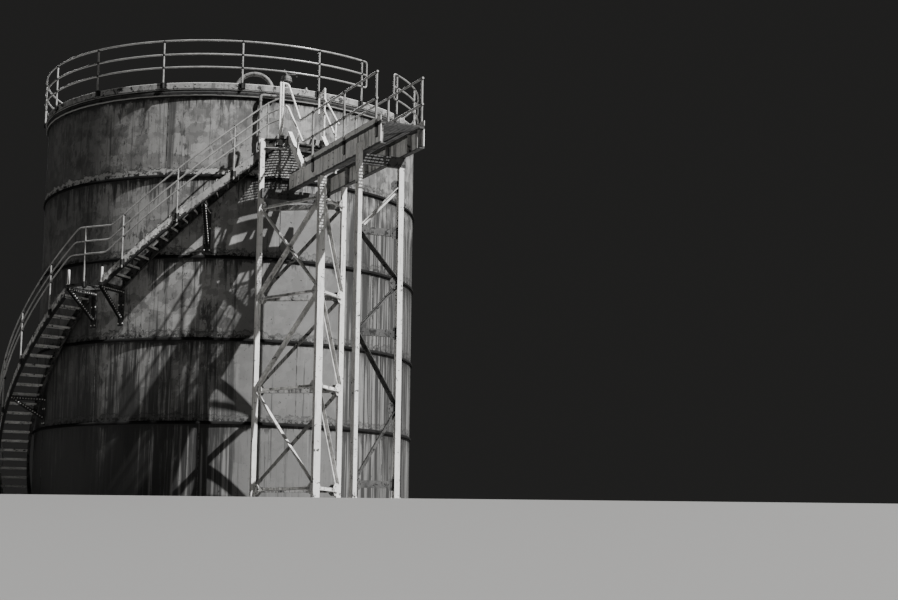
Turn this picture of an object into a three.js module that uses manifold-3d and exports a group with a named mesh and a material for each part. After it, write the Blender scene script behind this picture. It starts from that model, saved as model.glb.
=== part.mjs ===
// Vertical storage tank with its curved stair, stair-head platform and gangway.
// Millimetres, +Z up. The origin is on the tank's axis at the underside of its bottom plate.
// Bearings are in degrees round the axis, from -Y towards +X.

import * as THREE from "three";
import { mergeVertices } from "three/addons/utils/BufferGeometryUtils.js";
import Module from "manifold-3d";

const wasm = await Module();
wasm.setup();

// Clearances
const CONTACT = 0.3;
const CONTACT_BEARING = 0.005;

// Shell
const SHELL_RADIUS = 3810;
const SHELL_PLATE = 8;
const SHELL_FACETS = 48;
const FACET_START = 3.5;
const BOTTOM_PLATE = 10;
const BOTTOM_RADIUS = 3870;
const SEAM_HEIGHTS = [1547, 3095, 4641, 6190];
const SHELL_TOP = 7842;
const SEAM_RING_HEIGHT = 80;
const SEAM_RING_OUT = 36;
const CURB_HEIGHT = 140;
const CURB_OUT = 36;

// Roof
const ROOF_RIM_RADIUS = 3868;
const ROOF_FLAT_RADIUS = 3795;
const ROOF_PLATE = 8;
const ROOF_SLOPE = 0.12;
const EDGE_BAND_HEIGHT = 130;
const EDGE_BAND_PLATE = 12;

// Roof fittings: an arched pipe, a vent with a lever, and a pipe down the outside of the shell
const ARCH_CENTRE = [774, -3080, 8035];
const ARCH_REACH = 350;
const ARCH_DIAMETER = 85;
const ARCH_SIDES = 8;
const ARCH_FLANGE = { diameter: 190, plate: 48, proud: 22, sides: 12 };
const FITTING_FOOT = 7800;
const VENT_BEARING = 23.2;
const VENT_RADIUS = 3612;
const VENT_PIECES = [
  { diameter: 110, bottom: FITTING_FOOT, top: 8170 },
  { diameter: 214, bottom: 8165, top: 8195 },
  { diameter: 205, bottom: 8190, top: 8270 },
  { diameter: 36, bottom: 8265, top: 8330 },
];
const VENT_ROD = 26;
const VENT_LEVER = { height: 8310, reach: 190, grip: [8260, 8360] };
const VENT_HOOK = { reach: 60, top: 8400, tip: 25 };
const DOWNPIPE_BEARING = 14.6;
const DOWNPIPE_END = 19;
const DOWNPIPE_RADIUS = SHELL_RADIUS + 85;
const DOWNPIPE_DIAMETER = 60;
const DOWNPIPE_FOOT = 6712;
const DOWNPIPE_BEND = 7770;
const DOWNPIPE_CLIPS = [6980, 7480];

// Tube and bar sizes
const TUBE = 42;
const TUBE_SIDES = 6;
const TUBE_FLAT = (TUBE / 2) * Math.cos(Math.PI / TUBE_SIDES);
const LEG_FOOT = 250;
const FOOT_PLATE = 20;
const ANGLE = 65;
const ANGLE_PLATE = 9;

// Roof rail
const ROOF_RAIL_RADIUS = 3893;
const ROOF_RAIL_HEIGHTS = [8276, 8529, 8798];
const ROOF_POST_FOOT = 7880;
const ROOF_POST_PITCH = 22.3;
const ROOF_POST_FIRST = 9.4;
const ROOF_CLAMP = { height: 100, width: 70, lift: 45 };
const POSTS_PER_LENGTH = 3;
const RAIL_END_POSTS = [46.7, -296];
const RAIL_END_OVERHANG = 1.9;
const RAIL_END_LIP = 18;

// Curved stair
const STAIR_INNER = 3876;
const STAIR_OUTER = 4500;
const STAIR_FACET = 5;
const STRINGER_PLATE = 12;
const STRINGER_DEPTH = 200;
const STRINGER_BELOW_NOSING = 50;
const STRINGER_FOOT = 0.45;
const TREAD_PLATE = 40;
const TREAD_LAP = 0.2;
const LANDING_HEIGHT = 4100;
const LANDING_SLAB = 60;
const LANDING_INNER = 3862;
const LANDING_FACETS = 5;
const LANDING_LOW_END = -35;
const LANDING_HIGH_END = -23.2;
const LANDING_STUBS = [-34.2, -23.9];
const LANDING_STUB_TOP = 4380;
const LANDING_STUB_DIAMETER = 50;
const LOWER_RISERS = 24;
const LOWER_PITCH = 2.44;
const UPPER_PITCH = 2.7;
const PLATFORM_HEIGHT = 6820;
const UPPER_RISERS = 16;
const BRACKET_BAR = 60;
const BRACKET_PAD = { width: 130, longer: 120 };
const BRACKET_DROPS = { stair: 420, landing: 560, head: 680 };

// Stair rails on the outer stringer: each sloping tube meets its level tube over the landing
const STAIR_RAIL_RADIUS = STAIR_OUTER + 28;
const STAIR_CLEAT = { height: 110, width: 70 };
const LANDING_RAILS = [
  { height: 5140, low: -30.7, high: -21 },
  { height: 4875, low: -31.8, high: -21.6 },
  { height: 4635, low: -33.2, high: -22.6 },
];
const SLOPING_DROPS = [0, 200, 400];
const LOWER_RAIL_OVER_NOSING = 930;
const UPPER_RAIL_OVER_NOSING = 750;
const LOWER_RAIL_POSTS = [-88.68, -76.48, -64.28, -52.08, -39.88];
const LANDING_RAIL_POST = -28.55;
const UPPER_RAIL_POSTS = [-18.2, -5.1, 7.75, 15.4];
const DOUBLE_POST = new THREE.Vector3(1450, -4395, PLATFORM_HEIGHT);
const DOUBLE_POST_TOP = 7850;
const DOUBLE_POST_GAP = 46;
const RAIL_END_RISE = 90;
const RAIL_END_CLEARANCE = 12;

// Gangway frame: S runs outwards along it, W across it to its far side
const GANGWAY_ORIGIN = new THREE.Vector2(1610, -4210);
const GANGWAY_BEARING = 64;
const GANGWAY_LENGTH = 4200;
const GANGWAY_WIDTH = 790;
const CHANNEL_BOTTOM = 5800;
const CHANNEL_DEPTH = 350;
const CHANNEL_FLANGE = 90;
const CHANNEL_PLATE = 14;
const CHANNEL_TOP = CHANNEL_BOTTOM + CHANNEL_DEPTH;
const DECK_PLATE = 10;
const TOE_HEIGHT = 120;
const TOE_PLATE = 8;
const DECK_START = 760;
const NEAR_TOE_START = 720;
const CROSS_BEAM = { depth: 180, width: 90, longer: 10 };
const INNER_BEAM_RUN = 60;
const INNER_BEAM_START = -560;
const TRESTLE_RUN = 3400;
const RAIL_OFFSET = TUBE_FLAT + CONTACT;
const GANGWAY_RAIL_HEIGHTS = [6590, 7040];
const GANGWAY_RAIL_STARTS = { near: [717, 560], far: [980, 980] };
const GANGWAY_RAIL_END = 4080;
const GANGWAY_RAIL_POSTS = [1200, 2660, 4040];
const GANGWAY_POST_FOOT = CHANNEL_TOP - 200;

// Stair-head tower and the gangway's outer trestle
// Each size is across the gangway, then along it
const LEG_A = { x: 1116, y: -4429, top: 6750, size: [85, 85] };
const LEG_B = { run: 1500, across: 60, size: [120, 120] };
const LEG_C = { run: 850, across: 747.5, size: [85, 85] };
const LEG_D = { top: 5985, size: [65, 150] };
const LEG_E = { across: 730, size: [90, 90] };
const TOWER_LEVELS = [5440, 3760, 2080, 300];
const TRESTLE_LEVELS = [4500, 2800, 300];
const TRESTLE_PEAK = 5300;
const TRESTLE_KNEES = [3650, 1550];
const GUSSET_HEIGHT = 320;
const GUSSET_REACH = 220;
const BRACE_LAP = 0.4;

// Platform at the stair head and the short flight down to the gangway
const PLATFORM_FRAME = 180;
const PLATFORM_INSET = 0.86;
const PLATFORM_BACK = 1000;
const PLATFORM_EDGE = { end: 1600, middle: -4410, width: 130, top: 6750 };
const PLATFORM_OUTER = STAIR_OUTER + 40;
const PLATFORM_CORNER = new THREE.Vector3(1385, -4445, 0);
const PLATFORM_ACROSS = [-180, 655];

// The upper edges of the short flight's stringers fall from high at its top to low at its foot
const SHORT_FLIGHT = { top: 150, foot: 859, near: -100, far: 635, high: 6909, low: 6165 };
const FLIGHT_STRINGER = { plate: 14, depth: 200, nearFoot: 6100 };
const FLIGHT_FLANGE = { width: 75, depth: 14 };
const FLIGHT_TREAD = { risers: 4, depth: 155, drop: 10 };
const FLIGHT_CLEAT = { run: [740, 840], heights: [6090, 6165] };
const NEAR_RAILS = [
  { high: 7838, bend: 95, end: 536, low: 7040 },
  { high: 7409, bend: 84, end: 693, low: 6590 },
];
const NEAR_RAIL_POST = { run: 560, across: -60, top: 6790 };
const FAR_RAILS = [
  { high: 7621, end: 919, low: 6941 },
  { high: 7386, end: 767, low: 6739 },
];
const FAR_RAIL_ACROSS = 600;
const FAR_RAIL_POSTS = [{ run: 170, top: 7827 }, { run: 750, top: 7095 }];
const FAR_LOOP = { run: -124, high: 7800, end: 7735, low: 7370 };

const UP = new THREE.Vector3(0, 0, 1);
const EAST = new THREE.Vector3(1, 0, 0);
const toRadians = THREE.MathUtils.degToRad;

// Meshes and solids

function toSolid(geometry) {
  const bare = geometry.clone();
  bare.deleteAttribute("normal");
  bare.deleteAttribute("uv");
  const merged = mergeVertices(bare, 1e-3);
  const points = merged.attributes.position.array;
  const corners = merged.index.array;
  const point = (i) => new THREE.Vector3().fromArray(points, 3 * i);
  const faces = [];
  let volume = 0;
  for (let i = 0; i < corners.length; i += 3) {
    const [a, b, c] = corners.slice(i, i + 3);
    if (a !== b && b !== c && c !== a) {
      faces.push([a, b, c]);
      volume += point(a).dot(point(b).cross(point(c)));
    }
  }
  const outward = volume > 0 ? faces : faces.map(([a, b, c]) => [a, c, b]);
  return new wasm.Manifold(new wasm.Mesh({
    numProp: 3,
    vertProperties: Float32Array.from(points),
    triVerts: Uint32Array.from(outward.flat()),
  }));
}

function toGeometry(solid) {
  const { vertProperties, triVerts } = solid.getMesh();
  const geometry = new THREE.BufferGeometry();
  geometry.setAttribute("position", new THREE.BufferAttribute(vertProperties, 3));
  geometry.setIndex(new THREE.BufferAttribute(triVerts, 1));
  const flat = geometry.toNonIndexed();
  flat.computeVertexNormals();
  return flat;
}

function fuse(solids) {
  return solids.reduce((whole, solid) => whole.add(solid));
}

// Round work about the tank's axis

function polar(bearing, radius, height) {
  const angle = toRadians(bearing);
  return new THREE.Vector3(radius * Math.sin(angle), -radius * Math.cos(angle), height);
}

function turned(profile) {
  const outline = profile.map(([radius, height]) => new THREE.Vector2(radius, height));
  const geometry = new THREE.LatheGeometry(outline, SHELL_FACETS, toRadians(FACET_START));
  return toSolid(geometry.rotateX(Math.PI / 2));
}

function ring(inner, outer, bottom, top) {
  return turned([[inner, bottom], [outer, bottom], [outer, top], [inner, top], [inner, bottom]]);
}

function disc(radius, bottom, top) {
  return turned([[0, bottom], [radius, bottom], [radius, top], [0, top]]);
}

// A block bent round the axis, which climbs by rise for each degree
function bentBlock(bearings, radii, heights, steps, rise = 0) {
  const size = [bearings, radii, heights].map(([low, high]) => high - low);
  const middle = [bearings, radii, heights].map(([low, high]) => (high + low) / 2);
  const geometry = new THREE.BoxGeometry(...size, steps, 1, 1).translate(...middle);
  const places = geometry.attributes.position;
  for (let i = 0; i < places.count; i += 1) {
    const bearing = places.getX(i);
    const climb = rise * (bearing - bearings[0]);
    places.setXYZ(i, ...polar(bearing, places.getY(i), places.getZ(i) + climb));
  }
  return toSolid(geometry);
}

class Climb extends THREE.Curve {
  constructor(bearings, radius, heights) {
    super();
    Object.assign(this, { bearings, radius, heights });
  }

  getPoint(t) {
    const bearing = THREE.MathUtils.lerp(...this.bearings, t);
    return polar(bearing, this.radius, THREE.MathUtils.lerp(...this.heights, t));
  }
}

// Members with one cross-section

function polygon(points) {
  return new THREE.Shape(points.map(([x, y]) => new THREE.Vector2(x, y)));
}

// A many-sided tube, one flat of which faces along the section's x axis
function roundSection(diameter, sides = TUBE_SIDES) {
  const corners = Array.from({ length: sides }, (_, i) => (2 * Math.PI * (i + 0.5)) / sides);
  return polygon(corners.map((a) => [(diameter / 2) * Math.cos(a), (diameter / 2) * Math.sin(a)]));
}

function rectangle(width, depth) {
  const [x, y] = [width / 2, depth / 2];
  return polygon([[-x, -y], [x, -y], [x, y], [-x, y]]);
}

function angleSection(size, plate) {
  return polygon([[0, 0], [size, 0], [size, plate], [plate, plate], [plate, size], [0, size]]);
}

// The section's x axis points along side as far as the member's own line allows
function member(section, from, to, side = UP) {
  const along = to.clone().sub(from);
  const geometry = new THREE.ExtrudeGeometry(section, { depth: along.length(), bevelEnabled: false });
  const z = along.normalize();
  const x = side.clone().addScaledVector(z, -side.dot(z)).normalize();
  const y = new THREE.Vector3().crossVectors(z, x);
  return toSolid(geometry.applyMatrix4(new THREE.Matrix4().makeBasis(x, y, z).setPosition(from)));
}

function rod(from, to, diameter = TUBE, facing = Math.abs(to.z - from.z) > 1 ? EAST : UP) {
  return member(roundSection(diameter), from, to, facing);
}

function post(place, bottom, top, facing = EAST) {
  return rod(place.clone().setZ(bottom), place.clone().setZ(top), TUBE, facing);
}

function stack({ diameter, bottom, top }, place, sides) {
  return member(roundSection(diameter, sides), place.clone().setZ(bottom), place.clone().setZ(top), EAST);
}

function tubeAlong(curve, steps, diameter = TUBE, sides = TUBE_SIDES) {
  const options = { steps, bevelEnabled: false, extrudePath: curve };
  return toSolid(new THREE.ExtrudeGeometry(roundSection(diameter, sides), options));
}

function prism(points, bottom, top) {
  const options = { depth: top - bottom, bevelEnabled: false };
  return toSolid(new THREE.ExtrudeGeometry(polygon(points), options).translate(0, 0, bottom));
}

// Places on the gangway

const OUTWARD = new THREE.Vector3(
  Math.cos(toRadians(GANGWAY_BEARING)), -Math.sin(toRadians(GANGWAY_BEARING)), 0);
const ACROSS = new THREE.Vector3(-OUTWARD.y, OUTWARD.x, 0);

function onGangway(s, w, height) {
  const place = new THREE.Vector3(GANGWAY_ORIGIN.x, GANGWAY_ORIGIN.y, height);
  return place.addScaledVector(OUTWARD, s).addScaledVector(ACROSS, w);
}

function gangwayBlock(run, width, heights) {
  const [w0, w1] = width;
  const middle = (w0 + w1) / 2;
  const height = (heights[0] + heights[1]) / 2;
  const section = rectangle(heights[1] - heights[0], w1 - w0);
  return member(section, onGangway(run[0], middle, height), onGangway(run[1], middle, height));
}

// The scene graph

const tank = new THREE.Group();

const FINISHES = {
  shell: { color: 0x74746f, roughness: 0.7, metalness: 0.35 },
  seam: { color: 0x4c4a47, roughness: 0.75, metalness: 0.35 },
  roof: { color: 0x9a9a95, roughness: 0.65, metalness: 0.3 },
  rail: { color: 0xa6a6a1, roughness: 0.55, metalness: 0.4 },
  stair: { color: 0x8b8a84, roughness: 0.75, metalness: 0.3 },
  pale: { color: 0xc9c8c2, roughness: 0.6, metalness: 0.2 },
  girder: { color: 0x82817c, roughness: 0.7, metalness: 0.35 },
  pipe: { color: 0x6d6c68, roughness: 0.6, metalness: 0.45 },
};

function addPart(name, solid, finish) {
  const mesh = new THREE.Mesh(toGeometry(solid), new THREE.MeshStandardMaterial(FINISHES[finish]));
  mesh.name = name;
  tank.add(mesh);
}

// Shell, from the bottom plate to the curb

const shellSpace = disc(SHELL_RADIUS + CONTACT, -100, 9000);

function buildShell() {
  addPart("bottom_plate", disc(BOTTOM_RADIUS, 0, BOTTOM_PLATE), "seam");
  const levels = [BOTTOM_PLATE, ...SEAM_HEIGHTS, SHELL_TOP];
  for (let i = 0; i + 1 < levels.length; i += 1) {
    const course = ring(SHELL_RADIUS - SHELL_PLATE, SHELL_RADIUS, levels[i], levels[i + 1]);
    addPart(`shell_course_${i + 1}`, course, "shell");
  }
  const inner = SHELL_RADIUS + CONTACT;
  SEAM_HEIGHTS.forEach((height, i) => {
    const half = SEAM_RING_HEIGHT / 2;
    const lap = ring(inner, SHELL_RADIUS + SEAM_RING_OUT, height - half, height + half);
    addPart(`seam_ring_${i + 1}`, lap, "seam");
  });
  const curb = ring(inner, SHELL_RADIUS + CURB_OUT, SHELL_TOP - CURB_HEIGHT, SHELL_TOP);
  addPart("curb_ring", curb, "seam");
}

// Roof, its edge band and fittings

const roofTop = SHELL_TOP + ROOF_PLATE;
const roofPeak = roofTop + ROOF_SLOPE * ROOF_FLAT_RADIUS;

function buildRoof() {
  const roof = turned([
    [0, roofPeak - ROOF_PLATE],
    [ROOF_FLAT_RADIUS, SHELL_TOP],
    [ROOF_RIM_RADIUS, SHELL_TOP],
    [ROOF_RIM_RADIUS, roofTop],
    [ROOF_FLAT_RADIUS, roofTop],
    [0, roofPeak],
  ]);
  addPart("roof_plate", roof, "roof");
  const bandInner = ROOF_RIM_RADIUS - EDGE_BAND_PLATE;
  const band = ring(bandInner, ROOF_RIM_RADIUS, roofTop, roofTop + EDGE_BAND_HEIGHT);
  addPart("roof_edge_band", band, "roof");

  const overRoof = turned([
    [0, 0],
    [ROOF_RIM_RADIUS, 0],
    [ROOF_RIM_RADIUS, roofTop + CONTACT],
    [ROOF_FLAT_RADIUS, roofTop + CONTACT],
    [0, roofPeak + CONTACT],
  ]);
  addPart("swan_neck_pipe", swanNeck().subtract(overRoof), "pipe");
  addPart("roof_vent", roofVent().subtract(overRoof), "pipe");
}

class Arch extends THREE.Curve {
  constructor(centre, reach) {
    super();
    Object.assign(this, { centre, reach });
  }

  getPoint(t) {
    const angle = Math.PI * t;
    const offset = new THREE.Vector3(-Math.cos(angle), 0, Math.sin(angle));
    return this.centre.clone().addScaledVector(offset, this.reach);
  }
}

function swanNeck() {
  const centre = new THREE.Vector3(...ARCH_CENTRE);
  const pieces = [tubeAlong(new Arch(centre, ARCH_REACH), 10, ARCH_DIAMETER, ARCH_SIDES)];
  for (const side of [-1, 1]) {
    const place = centre.clone().addScaledVector(EAST, side * ARCH_REACH);
    const pipe = { diameter: ARCH_DIAMETER, bottom: FITTING_FOOT, top: centre.z + 4 };
    const roofHere = roofTop + ROOF_SLOPE * (ROOF_FLAT_RADIUS - Math.hypot(place.x, place.y));
    const top = roofHere + ARCH_FLANGE.proud;
    const flange = { diameter: ARCH_FLANGE.diameter, bottom: top - ARCH_FLANGE.plate, top };
    pieces.push(stack(pipe, place, ARCH_SIDES), stack(flange, place, ARCH_FLANGE.sides));
  }
  return fuse(pieces);
}

function roofVent() {
  const axis = polar(VENT_BEARING, VENT_RADIUS, 0);
  const { height, reach, grip } = VENT_LEVER;
  const at = (run, z) => axis.clone().addScaledVector(EAST, run).setZ(z);
  return fuse([
    ...VENT_PIECES.map((piece) => stack(piece, axis, 12)),
    rod(at(0, height), at(reach, height), VENT_ROD),
    rod(at(reach, grip[0]), at(reach, grip[1]), VENT_ROD),
    rod(at(0, height), at(-VENT_HOOK.reach, VENT_HOOK.top), VENT_ROD),
    rod(at(-VENT_HOOK.reach, VENT_HOOK.top), at(VENT_HOOK.tip - VENT_HOOK.reach, VENT_HOOK.top), VENT_ROD),
  ]);
}

// A short pipe that turns down the outside of the shell from under the curb
function buildDownpipe() {
  const corner = polar(DOWNPIPE_BEARING, DOWNPIPE_RADIUS, DOWNPIPE_BEND);
  const foot = corner.clone().setZ(DOWNPIPE_FOOT);
  const end = polar(DOWNPIPE_END, DOWNPIPE_RADIUS, DOWNPIPE_BEND);
  const elbowReach = DOWNPIPE_DIAMETER / 2 + 5;
  const elbow = stack({
    diameter: DOWNPIPE_DIAMETER + 12,
    bottom: DOWNPIPE_BEND - elbowReach,
    top: DOWNPIPE_BEND + elbowReach,
  }, corner, 8);
  const clips = DOWNPIPE_CLIPS.map((height) => {
    const inside = polar(DOWNPIPE_BEARING, SHELL_RADIUS - 40, height);
    return member(rectangle(50, 70), inside, corner.clone().setZ(height));
  });
  const pipe = fuse([
    rod(foot, corner, DOWNPIPE_DIAMETER),
    rod(corner, end, DOWNPIPE_DIAMETER),
    elbow,
    ...clips,
  ]);
  addPart("vent_downpipe", pipe.subtract(shellSpace), "pipe");
}

// Roof rail, in lengths that butt half-way between posts

function roofPostBearings() {
  const [first, last] = RAIL_END_POSTS;
  const bearings = [first];
  for (let bearing = ROOF_POST_FIRST + ROOF_POST_PITCH; bearing > last + ROOF_POST_PITCH / 2;) {
    bearings.push(bearing);
    bearing -= ROOF_POST_PITCH;
  }
  return [...bearings, last];
}

function roofPost(bearing, top) {
  const place = polar(bearing, ROOF_RAIL_RADIUS, 0);
  const middle = ROOF_POST_FOOT + ROOF_CLAMP.lift;
  const clamp = member(rectangle(ROOF_CLAMP.height, ROOF_CLAMP.width),
    polar(bearing, ROOF_RIM_RADIUS - 30, middle), polar(bearing, ROOF_RAIL_RADIUS + 12, middle));
  return post(place, ROOF_POST_FOOT, top).add(clamp);
}

function buildRoofRail() {
  const bearings = roofPostBearings();
  const bandSpace = disc(ROOF_RIM_RADIUS + CONTACT, 0, 9000);
  const [low, , top] = ROOF_RAIL_HEIGHTS;
  for (let first = 0, number = 1; first < bearings.length; first += POSTS_PER_LENGTH, number += 1) {
    const posts = bearings.slice(first, first + POSTS_PER_LENGTH);
    const last = posts[posts.length - 1];
    const previous = bearings[first - 1];
    const next = bearings[first + POSTS_PER_LENGTH];
    const before = previous === undefined
      ? posts[0] + RAIL_END_OVERHANG
      : (previous + posts[0]) / 2 - CONTACT_BEARING / 2;
    const after = next === undefined
      ? last - RAIL_END_OVERHANG
      : (next + last) / 2 + CONTACT_BEARING / 2;
    const steps = Math.round((2 * (before - after)) / ROOF_POST_PITCH);
    const ends = [previous === undefined ? before : undefined, next === undefined ? after : undefined];
    const pieces = [
      ...ROOF_RAIL_HEIGHTS.map((height) => (
        tubeAlong(new Climb([after, before], ROOF_RAIL_RADIUS, [height, height]), steps))),
      ...posts.map((bearing) => roofPost(bearing, top)),
      ...ends.filter((bearing) => bearing !== undefined).map((bearing) => (
        post(polar(bearing, ROOF_RAIL_RADIUS, 0), low - RAIL_END_LIP, top + RAIL_END_LIP))),
    ];
    addPart(`roof_rail_${number}`, fuse(pieces).subtract(bandSpace), "rail");
  }
}

// Curved stair

const lowerRise = LANDING_HEIGHT / LOWER_RISERS;
const upperRise = (PLATFORM_HEIGHT - LANDING_HEIGHT) / UPPER_RISERS;
const lowerSlope = lowerRise / LOWER_PITCH;
const upperSlope = upperRise / UPPER_PITCH;
const lowerFoot = LANDING_LOW_END - LOWER_PITCH * (LOWER_RISERS - 1 + STRINGER_FOOT);
const upperHead = LANDING_HIGH_END + UPPER_PITCH * (UPPER_RISERS - 1);

function nosingHeight(bearing) {
  return bearing < LANDING_HIGH_END
    ? LANDING_HEIGHT + lowerSlope * (bearing - LANDING_LOW_END)
    : LANDING_HEIGHT + upperRise + upperSlope * (bearing - LANDING_HIGH_END);
}

function stringers(start, end, slope) {
  const top = nosingHeight(start) - STRINGER_BELOW_NOSING;
  const steps = Math.round((end - start) / STAIR_FACET);
  const plates = [[STAIR_INNER, STAIR_INNER + STRINGER_PLATE], [STAIR_OUTER - STRINGER_PLATE, STAIR_OUTER]];
  return plates.map((radii) => (
    bentBlock([start, end], radii, [top - STRINGER_DEPTH, top], steps, slope)));
}

function tread(from, to, height) {
  const radii = [STAIR_INNER + STRINGER_PLATE / 2, STAIR_OUTER - STRINGER_PLATE / 2];
  return bentBlock([from, to], radii, [height - TREAD_PLATE, height], 1);
}

function buildStair() {
  const pieces = stringers(lowerFoot, LANDING_LOW_END - CONTACT_BEARING, lowerSlope);
  for (let i = 1; i < LOWER_RISERS; i += 1) {
    const nosing = LANDING_LOW_END - LOWER_PITCH * i;
    const back = Math.min(nosing + LOWER_PITCH + TREAD_LAP, LANDING_LOW_END - CONTACT_BEARING);
    pieces.push(tread(nosing, back, LANDING_HEIGHT - lowerRise * i));
  }
  const ground = disc(STAIR_OUTER + 200, -1000, 0);
  addPart("stair_flight_lower", fuse(pieces).subtract(ground), "stair");

  const underside = LANDING_HEIGHT - LANDING_SLAB;
  const landing = bentBlock([LANDING_LOW_END, LANDING_HIGH_END], [LANDING_INNER, STAIR_OUTER],
    [underside, LANDING_HEIGHT], LANDING_FACETS);
  const stub = { diameter: LANDING_STUB_DIAMETER, bottom: underside, top: LANDING_STUB_TOP };
  const stubs = LANDING_STUBS.map((bearing) => (
    stack(stub, polar(bearing, STAIR_OUTER - 30, 0), TUBE_SIDES)));
  addPart("stair_landing", fuse([landing, ...stubs]), "stair");

  const upper = stringers(LANDING_HIGH_END + CONTACT_BEARING, upperHead, upperSlope);
  for (let i = 1; i < UPPER_RISERS; i += 1) {
    const nosing = LANDING_HIGH_END + CONTACT_BEARING + UPPER_PITCH * (i - 1);
    const back = Math.min(nosing + UPPER_PITCH + TREAD_LAP, upperHead);
    upper.push(tread(nosing, back, LANDING_HEIGHT + upperRise * i));
  }
  addPart("stair_flight_upper", fuse(upper), "stair");
}

// Triangular brackets that carry the stair off the shell
function buildStairBrackets() {
  const landingUnderside = LANDING_HEIGHT - LANDING_SLAB;
  const underStringer = (bearing) => {
    const edge = bearing - THREE.MathUtils.radToDeg(BRACKET_BAR / 2 / STAIR_INNER);
    return nosingHeight(edge) - STRINGER_BELOW_NOSING - STRINGER_DEPTH - CONTACT;
  };
  const brackets = [
    [-59, underStringer(-59), BRACKET_DROPS.stair],
    [-34, landingUnderside, BRACKET_DROPS.landing],
    [-24, landingUnderside, BRACKET_DROPS.landing],
    [1, underStringer(1), BRACKET_DROPS.head],
  ];
  brackets.forEach(([bearing, top, drop], i) => {
    const tangent = polar(bearing + 90, 1, 0);
    const [inside, outside] = [SHELL_RADIUS - 30, STAIR_OUTER - 4];
    const beamHeight = top - BRACKET_BAR / 2;
    const bar = rectangle(BRACKET_BAR, BRACKET_BAR);
    const padLength = drop + BRACKET_PAD.longer;
    const padHeight = top - padLength / 2;
    const beam = member(bar, polar(bearing, inside, beamHeight), polar(bearing, outside, beamHeight));
    const brace = member(bar, polar(bearing, inside, top - drop), polar(bearing, outside - 40, beamHeight),
      tangent);
    const pad = member(rectangle(padLength, BRACKET_PAD.width), polar(bearing, inside, padHeight),
      polar(bearing, SHELL_RADIUS + 10, padHeight));
    const above = ring(SHELL_RADIUS - 400, STAIR_OUTER + 200, top, top + 400);
    const bracket = fuse([beam, brace, pad]).subtract(shellSpace).subtract(above);
    addPart(`stair_bracket_${i + 1}`, bracket, "girder");
  });
}

// A post with the cleat that holds it to the stringer or landing beside it
function stairPost(bearing, foot, top, cleatHeight) {
  const shaft = post(polar(bearing, STAIR_RAIL_RADIUS, 0), foot, top, polar(bearing, 1, 0));
  return shaft.add(member(rectangle(STAIR_CLEAT.height, STAIR_CLEAT.width),
    polar(bearing, STAIR_OUTER - 30, cleatHeight), polar(bearing, STAIR_RAIL_RADIUS + 6, cleatHeight)));
}

function stringerMiddle(bearing) {
  return nosingHeight(bearing) - STRINGER_BELOW_NOSING - STRINGER_DEPTH / 2;
}

// The room that a flight's outer stringer takes, wide enough to trim the cleats beside it
function stringerSpace(start, end, slope) {
  const middle = stringerMiddle(start);
  const steps = Math.round((end - start) / STAIR_FACET);
  return bentBlock([start, end], [STAIR_OUTER - 100, STAIR_OUTER + CONTACT],
    [middle - STRINGER_DEPTH, middle + STRINGER_DEPTH], steps, slope);
}

// A tube that climbs from one bearing to another, cut upright where it meets its neighbour
function slopingTube(from, to, cutAt, steps) {
  const slope = (to.height - from.height) / (to.bearing - from.bearing);
  const run = Math.sign(cutAt.bearing - (from.bearing + to.bearing) / 2);
  const lap = 0.5 * run;
  const longer = { bearing: cutAt.bearing + lap, height: cutAt.height + lap * slope };
  const ends = cutAt === to ? [from, longer] : [longer, to];
  const bearings = ends.map(({ bearing }) => bearing);
  const heights = ends.map(({ height }) => height);
  const edge = cutAt.bearing - CONTACT_BEARING * run;
  const beyond = [Math.min(edge, edge + 2 * run), Math.max(edge, edge + 2 * run)];
  const space = bentBlock(beyond, [STAIR_RAIL_RADIUS - 100, STAIR_RAIL_RADIUS + 100],
    [cutAt.height - 300, cutAt.height + 300], 1);
  return tubeAlong(new Climb(bearings, STAIR_RAIL_RADIUS, heights), steps).subtract(space);
}

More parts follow.
